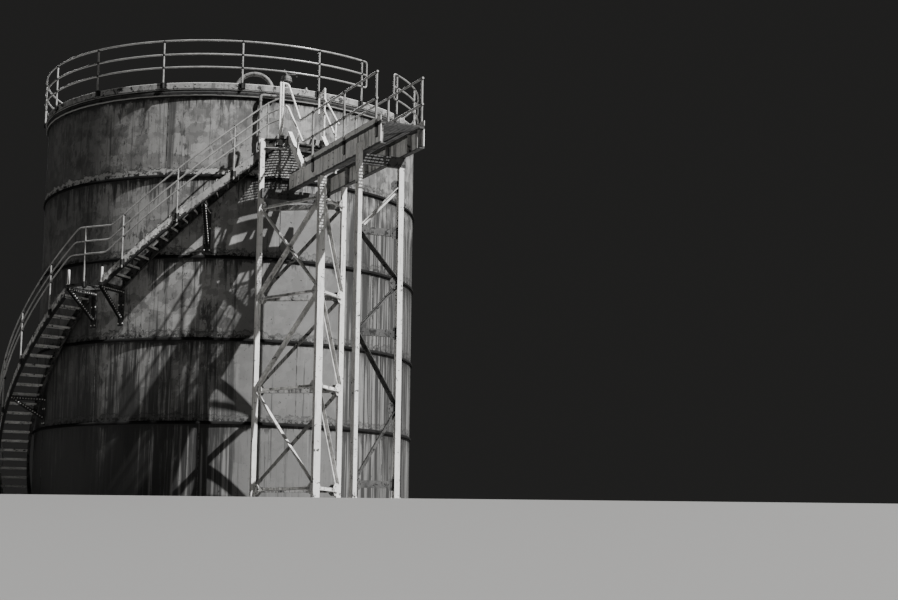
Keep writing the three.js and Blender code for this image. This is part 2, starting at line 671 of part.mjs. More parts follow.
function buildStairRails() {
  const lowerStart = LOWER_RAIL_POSTS[0];
  const lowerFootHeight = nosingHeight(lowerStart) + LOWER_RAIL_OVER_NOSING;
  const [highest] = LANDING_RAILS;
  const lowerSlopeOfRail = (highest.height - lowerFootHeight) / (highest.low - lowerStart);
  const lower = LANDING_RAILS.map(({ height, low }, i) => {
    const from = { bearing: lowerStart, height: lowerFootHeight - SLOPING_DROPS[i] };
    const to = { bearing: low, height };
    return slopingTube(from, to, to, 10);
  });
  for (const bearing of LOWER_RAIL_POSTS) {
    const middle = stringerMiddle(bearing);
    const top = lowerFootHeight + lowerSlopeOfRail * (bearing - lowerStart);
    lower.push(stairPost(bearing, Math.max(middle - STRINGER_DEPTH / 2, 0), top, Math.max(middle, 60)));
  }
  const lowerSpace = stringerSpace(lowerFoot, LANDING_LOW_END - CONTACT_BEARING, lowerSlope);
  addPart("stair_rail_lower", fuse(lower).subtract(lowerSpace), "rail");

  const landing = LANDING_RAILS.map(({ height, low, high }) => (
    tubeAlong(new Climb([low, high], STAIR_RAIL_RADIUS, [height, height]), 4)));
  const underside = LANDING_HEIGHT - LANDING_SLAB;
  const middle = LANDING_HEIGHT - LANDING_SLAB / 2;
  landing.push(stairPost(LANDING_RAIL_POST, underside, highest.height, middle));
  const landingSpace = bentBlock([LANDING_LOW_END, LANDING_HIGH_END],
    [STAIR_OUTER - 100, STAIR_OUTER + CONTACT],
    [underside - LANDING_SLAB, LANDING_HEIGHT + LANDING_SLAB], LANDING_FACETS);
  addPart("stair_rail_landing", fuse(landing).subtract(landingSpace), "rail");

  const upperEnd = UPPER_RAIL_POSTS[UPPER_RAIL_POSTS.length - 1];
  const upperEndHeight = nosingHeight(upperEnd) + UPPER_RAIL_OVER_NOSING;
  const upperSlopeOfRail = (upperEndHeight - highest.height) / (upperEnd - highest.high);
  const upper = LANDING_RAILS.map(({ height, high }, i) => {
    const from = { bearing: high, height };
    const to = { bearing: upperEnd, height: upperEndHeight - SLOPING_DROPS[i] };
    const corner = polar(upperEnd, STAIR_RAIL_RADIUS, to.height);
    const end = DOUBLE_POST.clone().setZ(to.height + RAIL_END_RISE);
    end.x -= DOUBLE_POST_GAP / 2;
    end.lerp(corner, RAIL_END_CLEARANCE / end.distanceTo(corner));
    return slopingTube(from, to, from, 6).add(rod(corner, end));
  });
  for (const bearing of UPPER_RAIL_POSTS.slice(0, -1)) {
    const middle = stringerMiddle(bearing);
    const top = upperEndHeight + upperSlopeOfRail * (bearing - upperEnd);
    upper.push(stairPost(bearing, middle - STRINGER_DEPTH / 2, top, middle));
  }
  upper.push(post(polar(upperEnd, STAIR_RAIL_RADIUS, 0), PLATFORM_EDGE.top, upperEndHeight));
  const twinPost = DOUBLE_POST.clone();
  twinPost.x -= DOUBLE_POST_GAP / 2;
  const twinPostSpace = rod(twinPost, twinPost.clone().setZ(DOUBLE_POST_TOP), TUBE + 2 * CONTACT);
  const upperSpace = stringerSpace(LANDING_HIGH_END + CONTACT_BEARING, upperHead, upperSlope);
  addPart("stair_rail_upper", fuse(upper).subtract(upperSpace).subtract(twinPostSpace), "rail");
}

// Legs of the gangway and the stair-head tower

const LEGS = {
  a: { place: new THREE.Vector3(LEG_A.x, LEG_A.y, 0), ...LEG_A },
  b: { place: onGangway(LEG_B.run, LEG_B.across, 0), top: CHANNEL_BOTTOM, ...LEG_B },
  c: { place: onGangway(LEG_C.run, LEG_C.across, 0), top: CHANNEL_BOTTOM, ...LEG_C },
  d: { place: onGangway(TRESTLE_RUN, -LEG_D.size[0] / 2 - CONTACT, 0), ...LEG_D },
  e: {
    place: onGangway(TRESTLE_RUN, LEG_E.across, 0),
    top: CHANNEL_BOTTOM - CROSS_BEAM.depth,
    ...LEG_E,
  },
};

function legBlock(place, [width, depth], bottom, top) {
  return member(rectangle(width, depth), place.clone().setZ(bottom), place.clone().setZ(top), ACROSS);
}

// The room that a leg takes, with its clearance
function legSpace({ place, size }) {
  return legBlock(place, size.map((side) => side + 2 * CONTACT), -10, 9000);
}

function buildLegs() {
  for (const [name, { place, top, size }] of Object.entries(LEGS)) {
    const foot = legBlock(place, [LEG_FOOT, LEG_FOOT], 0, FOOT_PLATE);
    addPart(`tower_leg_${name}`, legBlock(place, size, 0, top).add(foot), "pale");
  }
}

// One flat side of the tower: level bars, diagonals and the gussets that join them at the legs
function braceSide(first, second, levels, diagonals) {
  const [p, q] = [LEGS[first].place, LEGS[second].place];
  const laps = [first, second].map((name) => Math.min(...LEGS[name].size) * BRACE_LAP);
  const along = q.clone().sub(p).normalize();
  const outward = new THREE.Vector3().crossVectors(along, UP);
  const span = p.distanceTo(q);
  const bar = (low, high) => {
    const [from, to] = [p.clone().setZ(low), q.clone().setZ(high)];
    const ends = [laps[0] / span, 1 - laps[1] / span].map((t) => from.clone().lerp(to, t));
    return member(angleSection(ANGLE, ANGLE_PLATE), ...ends, low === high ? UP : outward);
  };
  const gusset = (leg, lap, height, direction) => {
    const ends = [lap, GUSSET_REACH].map((run) => (
      leg.clone().setZ(height).addScaledVector(along, direction * run)));
    return member(rectangle(GUSSET_HEIGHT, ANGLE_PLATE * 2), ...ends);
  };
  const bars = [...levels.map((height) => [height, height]), ...diagonals];
  const gussetHeights = (end) => [...new Set(bars.map((heights) => heights[end]))];
  return fuse([
    ...bars.map((heights) => bar(...heights)),
    ...gussetHeights(0).map((height) => gusset(p, laps[0], height, 1)),
    ...gussetHeights(1).map((height) => gusset(q, laps[1], height, -1)),
  ])
    .subtract(legSpace(LEGS[first]))
    .subtract(legSpace(LEGS[second]));
}

function buildBracing() {
  const [top, middle, low, base] = TOWER_LEVELS;
  addPart("tower_bracing_ab", braceSide("a", "b", TOWER_LEVELS,
    [[top, middle], [middle, top], [low, middle], [low, base]]), "pale");
  addPart("tower_bracing_bc", braceSide("b", "c", TOWER_LEVELS,
    [[top, middle], [middle, low], [low, base]]), "pale");
  addPart("tower_bracing_ac", braceSide("c", "a", TOWER_LEVELS,
    [[top, middle], [middle, low], [low, base]]), "girder");
  const [upper, lower, foot] = TRESTLE_LEVELS;
  const [knee, lowKnee] = TRESTLE_KNEES;
  addPart("gangway_bracing_de", braceSide("d", "e", TRESTLE_LEVELS,
    [[upper, TRESTLE_PEAK], [upper, knee], [lower, knee], [lower, lowKnee], [foot, lowKnee]]), "girder");
}

// Platform at the stair head: deck plate in a frame of edge beams

function buildPlatform() {
  const { top, far } = SHORT_FLIGHT;
  const [near, farSide] = PLATFORM_ACROSS.map((across) => onGangway(top, across, 0));
  const back = farSide.clone().addScaledVector(OUTWARD, -PLATFORM_BACK);
  const head = upperHead + CONTACT_BEARING;
  const inner = polar(head, SHELL_RADIUS - 100, 0);
  const outer = polar(head, PLATFORM_OUTER, 0);
  const outline = [inner, outer, PLATFORM_CORNER, near, farSide, back].map(({ x, y }) => [x, y]);
  const middle = [0, 1].map((i) => (
    outline.reduce((sum, place) => sum + place[i], 0) / outline.length));
  const inset = outline.map((place) => (
    place.map((value, i) => THREE.MathUtils.lerp(middle[i], value, PLATFORM_INSET))));
  const bottom = PLATFORM_HEIGHT - PLATFORM_FRAME;
  const slab = prism(outline, bottom, PLATFORM_HEIGHT)
    .subtract(prism(inset, bottom - 10, PLATFORM_HEIGHT - DECK_PLATE));
  const edgeMiddle = PLATFORM_EDGE.top - PLATFORM_FRAME / 2;
  const edgeStart = new THREE.Vector3(LEG_A.x, PLATFORM_EDGE.middle, edgeMiddle);
  const edgeEnd = edgeStart.clone().setX(PLATFORM_EDGE.end);
  const edge = member(rectangle(PLATFORM_FRAME, PLATFORM_EDGE.width), edgeStart, edgeEnd);
  const stairSpace = bentBlock([upperHead - 12, head], [STAIR_INNER - 60, STAIR_OUTER + CONTACT],
    [PLATFORM_EDGE.top - PLATFORM_FRAME - 10, PLATFORM_HEIGHT + 10], 6);
  const flightSpace = gangwayBlock([top, top + 500],
    [SHORT_FLIGHT.near - CONTACT, far + CONTACT], [bottom - 100, PLATFORM_HEIGHT + 10]);
  const platform = slab.add(edge)
    .subtract(shellSpace)
    .subtract(stairSpace)
    .subtract(flightSpace)
    .subtract(legSpace(LEGS.a));
  addPart("stair_head_platform", platform, "girder");
}

// Short flight from the platform down to the gangway

const flightSlope = (SHORT_FLIGHT.high - SHORT_FLIGHT.low) / (SHORT_FLIGHT.foot - SHORT_FLIGHT.top);

function flightEdge(run) {
  return SHORT_FLIGHT.high - flightSlope * (run - SHORT_FLIGHT.top);
}

// A block whose side, seen square to the gangway, has the given runs and heights as its corners
function acrossFlight(corners, [low, high]) {
  const geometry = new THREE.ExtrudeGeometry(polygon(corners), { depth: high - low, bevelEnabled: false });
  const basis = new THREE.Matrix4().makeBasis(OUTWARD, UP, ACROSS.clone().negate());
  return toSolid(geometry.applyMatrix4(basis.setPosition(onGangway(0, high, 0))));
}

// A block that slopes with the flight, from above its stringers' upper edge to below it
function alongFlight(run, above, below, width) {
  const [start, end] = run;
  return acrossFlight([
    [start, flightEdge(start) + above],
    [end, flightEdge(end) + above],
    [end, flightEdge(end) - below],
    [start, flightEdge(start) - below],
  ], width);
}

function buildShortFlight() {
  const { foot, near, far } = SHORT_FLIGHT;
  const { plate, depth, nearFoot } = FLIGHT_STRINGER;
  const start = SHORT_FLIGHT.top + CONTACT;
  const deckTop = CHANNEL_TOP + DECK_PLATE + CONTACT;
  const deckSpace = gangwayBlock([DECK_START, foot + 50], [0, far + 10], [CHANNEL_TOP - 50, deckTop]);
  const stringer = (bottom, width) => acrossFlight([
    [start, flightEdge(start)],
    [foot, flightEdge(foot)],
    [foot, bottom],
    [start + (flightEdge(start) - depth - bottom) / flightSlope, bottom],
    [start, flightEdge(start) - depth],
  ], width);
  const flange = (width) => alongFlight([start, foot], 0, FLIGHT_FLANGE.depth, width);
  const pieces = [
    stringer(nearFoot, [near, near + plate]),
    stringer(deckTop, [far - plate, far]),
    flange([near, near + FLIGHT_FLANGE.width]),
    flange([far - FLIGHT_FLANGE.width, far]),
    gangwayBlock(FLIGHT_CLEAT.run, [near, -CONTACT], FLIGHT_CLEAT.heights),
  ];
  const rise = (PLATFORM_HEIGHT - CHANNEL_TOP) / FLIGHT_TREAD.risers;
  for (let i = 1; i < FLIGHT_TREAD.risers; i += 1) {
    const height = PLATFORM_HEIGHT - rise * i;
    const nosing = start + (flightEdge(start) - FLIGHT_TREAD.drop - height) / flightSlope;
    pieces.push(gangwayBlock([nosing - FLIGHT_TREAD.depth, nosing],
      [near + plate / 2, far - plate / 2], [height - TREAD_PLATE, height]));
  }
  addPart("short_flight", fuse(pieces).subtract(deckSpace), "pale");
}

function buildShortFlightRails() {
  const { near, far, foot } = SHORT_FLIGHT;
  const flightSpace = alongFlight([0, foot + 50], CONTACT, 400, [near - 10, far + 10]);
  const half = new THREE.Vector3(DOUBLE_POST_GAP / 2, 0, 0);
  const twins = [DOUBLE_POST.clone().sub(half), DOUBLE_POST.clone().add(half)];
  const nearTubes = NEAR_RAILS.flatMap(({ high, bend, end, low }) => {
    const corner = onGangway(bend, near, high);
    return [rod(twins[0].clone().setZ(high), twins[1].clone().setZ(high)),
      rod(twins[1].clone().setZ(high), corner), rod(corner, onGangway(end, -RAIL_OFFSET, low))];
  });
  const nearPost = onGangway(NEAR_RAIL_POST.run, NEAR_RAIL_POST.across, 0);
  addPart("short_flight_rail_near", fuse([
    ...twins.map((place) => post(place, PLATFORM_HEIGHT, DOUBLE_POST_TOP)),
    member(rectangle(60, 120), DOUBLE_POST.clone(), DOUBLE_POST.clone().setZ(PLATFORM_HEIGHT + 12),
      new THREE.Vector3(0, 1, 0)),
    post(nearPost, flightEdge(NEAR_RAIL_POST.run) - 100, NEAR_RAIL_POST.top, ACROSS),
    ...nearTubes,
  ]).subtract(flightSpace), "pale");

  const onFar = (run, height) => onGangway(run, FAR_RAIL_ACROSS, height);
  const [{ run: headRun }] = FAR_RAIL_POSTS;
  const loop = [
    onFar(headRun, FAR_LOOP.high),
    onFar(FAR_LOOP.run, FAR_LOOP.end),
    onFar(FAR_LOOP.run, FAR_LOOP.low),
    onFar(headRun, FAR_LOOP.low),
  ];
  addPart("short_flight_rail_far", fuse([
    ...FAR_RAIL_POSTS.map(({ run, top }) => post(onFar(run, 0), flightEdge(run) - 100, top, ACROSS)),
    ...FAR_RAILS.map(({ high, end, low }) => rod(onFar(headRun, high), onFar(end, low))),
    ...loop.slice(1).map((place, i) => rod(loop[i], place)),
  ]).subtract(flightSpace), "pale");
}

// Gangway: two channels, deck with toe plates, cross-beams and rails

function buildGangway() {
  const [f, d, t] = [CHANNEL_FLANGE, CHANNEL_DEPTH, CHANNEL_PLATE];
  const channel = polygon([[0, 0], [f, 0], [f, t], [t, t], [t, d - t], [f, d - t], [f, d], [0, d]]);
  for (const [name, w, turn] of [["near", 0, 1], ["far", GANGWAY_WIDTH, -1]]) {
    const geometry = new THREE.ExtrudeGeometry(channel, { depth: GANGWAY_LENGTH, bevelEnabled: false });
    const basis = new THREE.Matrix4().makeBasis(ACROSS.clone().multiplyScalar(turn), UP, OUTWARD);
    geometry.applyMatrix4(basis.setPosition(onGangway(0, w, CHANNEL_BOTTOM)));
    addPart(`gangway_channel_${name}`, toSolid(geometry), "girder");
  }
  const top = CHANNEL_TOP + DECK_PLATE;
  const deck = fuse([
    gangwayBlock([DECK_START, GANGWAY_LENGTH], [0, GANGWAY_WIDTH], [CHANNEL_TOP, top]),
    gangwayBlock([NEAR_TOE_START, GANGWAY_LENGTH], [0, TOE_PLATE], [CHANNEL_TOP, top + TOE_HEIGHT]),
    gangwayBlock([DECK_START, GANGWAY_LENGTH], [GANGWAY_WIDTH - TOE_PLATE, GANGWAY_WIDTH],
      [CHANNEL_TOP, top + TOE_HEIGHT]),
  ]);
  addPart("gangway_deck", deck, "girder");

  const beam = (run, start) => (
    gangwayBlock([run - CROSS_BEAM.width / 2, run + CROSS_BEAM.width / 2],
      [start, GANGWAY_WIDTH + CROSS_BEAM.longer], [CHANNEL_BOTTOM - CROSS_BEAM.depth, CHANNEL_BOTTOM]));
  const inner = beam(INNER_BEAM_RUN, INNER_BEAM_START).subtract(legSpace(LEGS.a));
  addPart("cross_beam_inner", inner, "girder");
  addPart("cross_beam_outer", beam(TRESTLE_RUN, 0), "girder");
}

function buildGangwayRails() {
  const top = Math.max(...GANGWAY_RAIL_HEIGHTS) + 12;
  for (const [name, w] of [["near", -RAIL_OFFSET], ["far", GANGWAY_WIDTH + RAIL_OFFSET]]) {
    addPart(`gangway_rail_${name}`, fuse([
      ...GANGWAY_RAIL_HEIGHTS.map((height, i) => (
        rod(onGangway(GANGWAY_RAIL_STARTS[name][i], w, height), onGangway(GANGWAY_RAIL_END, w, height)))),
      ...GANGWAY_RAIL_POSTS.map((s) => post(onGangway(s, w, 0), GANGWAY_POST_FOOT, top, ACROSS)),
    ]), "rail");
  }
}

buildShell();
buildRoof();
buildDownpipe();
buildRoofRail();
buildStair();
buildStairBrackets();
buildStairRails();
buildLegs();
buildBracing();
buildPlatform();
buildShortFlight();
buildShortFlightRails();
buildGangway();
buildGangwayRails();

export default tank;
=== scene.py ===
"""The looks of a vertical storage tank with a curved stair, a roof handrail and a raised gangway.

All sizes are metres, +Z up, with the origin on the tank's axis at the underside of its bottom plate.
A bearing is in degrees round that axis, from -Y towards +X. On the gangway, s runs outwards along it
and w across it from its near channel.
"""

import logging
import math
from dataclasses import dataclass, field
from enum import Enum
from typing import Any, Callable, Iterable, Mapping, Optional, Sequence, Union

import bpy
import numpy as np
from mathutils import Matrix


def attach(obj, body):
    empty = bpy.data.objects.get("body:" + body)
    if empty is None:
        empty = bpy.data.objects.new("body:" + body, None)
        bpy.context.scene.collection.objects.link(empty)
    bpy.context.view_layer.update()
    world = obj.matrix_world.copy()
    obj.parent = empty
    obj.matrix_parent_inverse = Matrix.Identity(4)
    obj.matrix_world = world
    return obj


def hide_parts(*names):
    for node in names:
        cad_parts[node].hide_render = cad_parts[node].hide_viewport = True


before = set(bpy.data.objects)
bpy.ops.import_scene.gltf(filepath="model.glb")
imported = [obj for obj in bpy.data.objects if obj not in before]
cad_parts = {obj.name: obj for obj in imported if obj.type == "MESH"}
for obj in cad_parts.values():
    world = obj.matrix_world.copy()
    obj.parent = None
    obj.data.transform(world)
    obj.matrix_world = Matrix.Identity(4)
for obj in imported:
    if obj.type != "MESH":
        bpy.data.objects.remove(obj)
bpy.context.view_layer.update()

LOG = logging.getLogger("tank")
UP = np.array([0.0, 0.0, 1.0])
EAST = np.array([1.0, 0.0, 0.0])
SOUTH = np.array([0.0, -1.0, 0.0])
ROUND_STEPS = 288
SIDES = (-1, 1)


# Surfaces as arrays

@dataclass
class Surface:
    """A closed skin: points, four-cornered faces, many-cornered caps and how rusty each point is."""

    points: np.ndarray
    quads: np.ndarray
    caps: list[list[int]] = field(default_factory=list)
    rust: Optional[np.ndarray] = None


Surfaces = list[Surface]


def joined(surfaces: Iterable[Surface]) -> Surface:
    """Puts surfaces into one, each face counted on from the points before it.

    Args:
        surfaces: The surfaces, of which those without rust weights count as not rusty.

    Returns:
        The one surface.
    """
    parts = list(surfaces)
    starts = np.cumsum([0] + [len(part.points) for part in parts[:-1]])
    return Surface(
        np.concatenate([part.points for part in parts]),
        np.concatenate([part.quads + start for part, start in zip(parts, starts)]),
        [[int(start) + corner for corner in cap] for part, start in zip(parts, starts) for cap in part.caps],
        np.concatenate([np.zeros(len(part.points)) if part.rust is None else part.rust for part in parts]),
    )


def signed_volume(points: np.ndarray, quads: np.ndarray, caps: Sequence[Sequence[int]]) -> float:
    """Adds a . (b x c) over all triangles, which is positive when faces point outwards.

    Args:
        points: The points.
        quads: The four-cornered faces.
        caps: The many-cornered faces.

    Returns:
        Six times the volume, with its sign.
    """
    at = points - points.mean(axis=0)
    fans = [(cap[0], b, c) for cap in caps for b, c in zip(cap[1:-1], cap[2:])]
    triangles = np.concatenate([quads[:, [0, 1, 2]], quads[:, [0, 2, 3]], np.array(fans, int).reshape(-1, 3)])
    a, b, c = (at[triangles[:, i]] for i in range(3))
    return float(np.einsum("ij,ij->", a, np.cross(b, c)))


def lattice(points: np.ndarray, ring: bool = False) -> Surface:
    """Skins a grid of points: face (i, j) joins points j and j + 1 of rows i and i + 1.

    Args:
        points: An array of rows by loop points by three. Each row is a closed loop.
        ring: Whether the last row joins the first. If not, the end rows are capped.

    Returns:
        The closed surface, turned so that its faces point outwards.
    """
    rows, loop = points.shape[:2]
    i = np.arange(rows if ring else rows - 1)[:, None]
    j = np.arange(loop)[None, :]
    ahead, beside = (i + 1) % rows, (j + 1) % loop
    corners = [i * loop + j, i * loop + beside, ahead * loop + beside, ahead * loop + j]
    quads = np.stack(corners, axis=-1).reshape(-1, 4)
    caps = [] if ring else [list(range(loop))[::-1], list(range((rows - 1) * loop, rows * loop))]
    flat = points.reshape(-1, 3)
    if signed_volume(flat, quads, caps) < 0:
        quads = quads[:, ::-1]
        caps = [cap[::-1] for cap in caps]
    return Surface(flat, quads, caps)


def unit(vectors: np.ndarray) -> np.ndarray:
    """Scales vectors to length one along their last axis."""
    return vectors / np.linalg.norm(vectors, axis=-1, keepdims=True)


def square_to(axis: np.ndarray) -> tuple[np.ndarray, np.ndarray]:
    """Two directions square to an axis and to each other."""
    helper = EAST if abs(unit(axis)[0]) < 0.8 else UP
    first = unit(np.cross(axis, helper))
    return first, unit(np.cross(axis, first))


def polar(bearing: Any, radius: Any, height: Any) -> np.ndarray:
    """Points (radius sin b, -radius cos b, height) for a bearing b round the tank's axis."""
    angle = np.radians(bearing)
    parts = np.broadcast_arrays(radius * np.sin(angle), -radius * np.cos(angle), height)
    return np.stack(parts, axis=-1).astype(float)


def circle(sides: int) -> np.ndarray:
    """Points (cos t, sin t) at even steps of t."""
    t = np.linspace(0, 2 * np.pi, sides, endpoint=False)
    return np.stack([np.cos(t), np.sin(t)], axis=-1)


def box(x0: float, x1: float, y0: float, y1: float) -> np.ndarray:
    """A rectangle's corners, in order."""
    return np.array([(x0, y0), (x1, y0), (x1, y1), (x0, y1)])


def rectangle(width: float, depth: float, corner: float = 0.0) -> np.ndarray:
    """A centred rectangle's outline, with quarter circles in two steps at its corners.

    Args:
        width: Size along the first direction.
        depth: Size along the second direction.
        corner: Radius of the corners, or none for square ones.

    Returns:
        The outline's points, in order.
    """
    signs = np.array([[1, 1], [-1, 1], [-1, -1], [1, -1]], float)
    if corner <= 0:
        return signs * [width / 2, depth / 2]
    t = np.linspace(0, np.pi / 2, 3)[None, :] + np.arange(4)[:, None] * np.pi / 2
    arcs = corner * np.stack([np.cos(t), np.sin(t)], axis=-1)
    return (arcs + (signs * [width / 2 - corner, depth / 2 - corner])[:, None]).reshape(-1, 2)


def channel(depth: float, flange: float, plate: float = 0.008) -> np.ndarray:
    """The outline of a channel: web along the second direction, flanges along the first."""
    d, f, t = depth / 2, flange, plate
    return np.array([[0, -d], [f, -d], [f, t - d], [t, t - d], [t, d - t], [f, d - t], [f, d], [0, d]])


def angle(side: float, plate: float) -> np.ndarray:
    """The outline of an angle bar, its two legs along the two directions from a corner at the middle."""
    a, t, m = side, plate, side / 2
    return np.array([[0, 0], [a, 0], [a, t], [t, t], [t, a], [0, a]]) - m


def h_section(width: float, depth: float, plate: float) -> np.ndarray:
    """The outline of a rolled post: two flanges across, a web between them along the second direction."""
    w, d, t = width / 2, depth / 2, plate
    half = [[-w, -d], [w, -d], [w, t - d], [t / 2, t - d], [t / 2, d - t], [w, d - t]]
    return np.array(half + [[-x, -y] for x, y in half])


def swept(profile: np.ndarray, path: np.ndarray, across: np.ndarray, up: np.ndarray) -> Surface:
    """Carries a profile along a path: point = path + first * across + second * up."""
    across, up = np.broadcast_to(across, path.shape), np.broadcast_to(up, path.shape)
    steps = profile[None, :, :1] * across[:, None] + profile[None, :, 1:] * up[:, None]
    return lattice(path[:, None] + steps)


def bent(profile: Any, bearings: Optional[np.ndarray] = None) -> Surface:
    """Carries a profile of (radius, height) round the tank's axis.

    Args:
        profile: Radius and height of each profile point.
        bearings: The bearings it passes, or none for all the way round.

    Returns:
        The closed surface, of points polar(bearing, radius, height).
    """
    profile = np.array(profile)
    at = full_circle() if bearings is None else bearings
    return lattice(polar(at[:, None], profile[None, :, 0], profile[None, :, 1]), bearings is None)


def full_circle() -> np.ndarray:
    """Bearings all the way round, the last one short of the first."""
    return np.linspace(-180, 180, ROUND_STEPS, endpoint=False)


def tube(path: np.ndarray, radius: float, sides: int = 12) -> Surface:
    """A round tube along a path: circles square to the path's tangent.

    The circles' first direction is the tangent crossed with the normal of the plane that fits the
    path best, so they don't twist.

    Args:
        path: Points along the tube's middle.
        radius: The tube's radius.
        sides: Faces round the tube.

    Returns:
        The closed tube.
    """
    tangents = unit(np.gradient(path, axis=0))
    normal = np.linalg.svd(path - path.mean(axis=0))[2][2]
    across = unit(np.cross(tangents, normal))
    return swept(circle(sides) * radius, path, across, np.cross(across, tangents))


def turned(stations: Sequence[tuple[float, float]], base: np.ndarray, axis: np.ndarray = UP,
           sides: int = 20) -> Surface:
    """A shape turned on a lathe: point = base + height * axis + radius * (cos t, sin t).

    Args:
        stations: Radius and height of each station along the axis.
        base: Where height is zero.
        axis: The direction of the axis.
        sides: Faces round the shape.

    Returns:
        The closed shape.
    """
    axis = unit(np.asarray(axis, float))
    first, second = square_to(axis)
    round_ = circle(sides) @ np.stack([first, second])
    radius, height = np.array(stations, float).T
    return lattice(base + height[:, None, None] * axis + radius[:, None, None] * round_[None])


def upright(base: np.ndarray, radius: float, low: float, high: float, sides: int = 20) -> Surface:
    """A round post or collar of one radius, from low to high over its base."""
    return turned([(radius, low), (radius, high)], base, UP, sides)


def ball(centre: np.ndarray, radius: float) -> Surface:
    """A ball fitting: circles of radius r cos a at height r sin a."""
    angles = np.radians([-78, -45, -15, 15, 45, 78])
    return turned(list(zip(radius * np.cos(angles), radius * np.sin(angles))), centre, UP, 12)


def bolt(base: np.ndarray, axis: np.ndarray, size: float = 0.014) -> Surface:
    """A six-sided bolt head with a chamfered top."""
    return turned([(size, -0.002), (size, size * 0.6), (size * 0.8, size * 0.8)], base, axis, 6)


def bar(start: np.ndarray, end: np.ndarray, width: float, depth: float, facing: np.ndarray = UP,
        corner: float = 0.0) -> Surface:
    """A straight bar with a rectangular section.

    Args:
        start: One end of its middle line.
        end: The other end.
        width: Size along facing.
        depth: Size square to facing.
        facing: A direction not along the bar.
        corner: Radius of the bar's long edges.

    Returns:
        The closed bar.
    """
    path = np.array([start, end], float)
    along = unit(path[1] - path[0])
    across = unit(facing - along * np.dot(facing, along))
    return swept(rectangle(width, depth, corner), path, across, np.cross(along, across))


def spoke(bearing: float, radii: tuple[float, float], height: float, width: float, depth: float,
          facing: np.ndarray = UP, corner: float = 0.0) -> Surface:
    """A level bar between two radii at one bearing, its section like that of bar()."""
    return bar(*polar(bearing, np.array(radii), height), width, depth, facing, corner)


def rounded(corners: Sequence[np.ndarray], reach: float, steps: int = 6) -> np.ndarray:
    """A path through corners, each rounded by the curve (1-t)^2 a + 2t(1-t) b + t^2 c.

    Args:
        corners: The path's end points and corners, in order.
        reach: How far from each corner b its rounding starts, at a, and ends, at c.
        steps: Points in each rounding.

    Returns:
        Points along the path.
    """
    points = np.array(corners, float)
    t = np.linspace(0, 1, steps + 1)[:, None]
    path = [points[:1]]
    for before, corner, after in zip(points[:-2], points[1:-1], points[2:]):
        a, c = (corner + unit(side - corner) * reach for side in (before, after))
        path.append((1 - t) ** 2 * a + 2 * t * (1 - t) * corner + t ** 2 * c)
    return np.concatenate(path + [points[-1:]])


# Finishes

Socket = Union[bpy.types.NodeSocket, float, tuple]


class Graph:
    """A node tree with short calls to add, set and wire its nodes."""

    def __init__(self, tree: bpy.types.NodeTree) -> None:
        """Starts on an empty tree."""
        self.tree = tree
        tree.nodes.clear()

    def add(self, kind: str, inputs: Optional[Mapping[Any, Socket]] = None, **settings: Any) -> Any:
        """Adds a node.

        Args:
            kind: The node's type, without its ShaderNode prefix.
            inputs: A value or an output socket for each input that is named.
            **settings: The node's own settings.

        Returns:
            The node.
        """
        node = self.tree.nodes.new(kind if kind.startswith("Node") else "ShaderNode" + kind)
        for name, value in settings.items():
            setattr(node, name, value)
        for name, value in (inputs or {}).items():
            if isinstance(value, bpy.types.NodeSocket):
                self.tree.links.new(value, node.inputs[name])
            else:
                node.inputs[name].default_value = value
        return node

    def math(self, operation: str, a: Socket, b: Socket = 0.0, clamp: bool = False) -> Any:
        """One arithmetic step, as an output socket."""
        return self.add("Math", {0: a, 1: b}, operation=operation, use_clamp=clamp).outputs[0]

    def times(self, a: Socket, *others: Socket) -> Any:
        """The product of all its values."""
        for other in others:
            a = self.math("MULTIPLY", a, other)
        return a

    def plus(self, a: Socket, b: Socket, clamp: bool = False) -> Any:
        """The sum a + b."""
        return self.math("ADD", a, b, clamp)

    def less(self, a: Socket, b: Socket, clamp: bool = False) -> Any:
        """The difference a - b."""
        return self.math("SUBTRACT", a, b, clamp)

    def ramp(self, value: Socket, low: Socket, high: Socket) -> Any:
        """A smooth step from 0 at low to 1 at high."""
        inputs = {"Value": value, "From Min": low, "From Max": high}
        return self.add("MapRange", inputs, interpolation_type="SMOOTHSTEP").outputs["Result"]

    def noise(self, vector: Socket, scale: Socket, detail: float = 4, rough: float = 0.6,
              twist: float = 0.0) -> Any:
        """A cloud noise, as its value socket."""
        inputs = {"Vector": vector, "Scale": scale, "Detail": detail, "Roughness": rough, "Distortion": twist}
        return self.add("TexNoise", inputs).outputs[0]

    def vector(self, operation: str, place: Socket, x: Socket, y: Socket, z: Socket) -> Any:
        """One step of arithmetic between a place and the vector (x, y, z)."""
        other = self.add("CombineXYZ", {0: x, 1: y, 2: z}).outputs[0]
        return self.add("VectorMath", {0: place, 1: other}, operation=operation).outputs[0]

    def mix(self, factor: Socket, a: Socket, b: Socket) -> Any:
        """A colour from a, at factor 0, to b, at factor 1."""
        return self.add("Mix", {0: factor, 6: a, 7: b}, data_type="RGBA", clamp_factor=True).outputs[2]

    def lay(self, colour: Socket, mask: Socket, depth: float, level: float) -> Any:
        """Lays a grey over a colour where a mask is, as strongly as depth."""
        return self.mix(self.times(mask, depth), colour, grey(level))

    def finish(self, kind: str, inputs: Mapping[Any, Socket], output: str = "OutputMaterial") -> None:
        """Adds the shader and joins it to the tree's output."""
        self.add(output, {"Surface": self.add(kind, inputs).outputs[0]})


def grey(level: float) -> tuple[float, float, float, float]:
    """A near-neutral paint grey of that linear brightness."""
    return (level, level * 0.99, level * 0.965, 1.0)


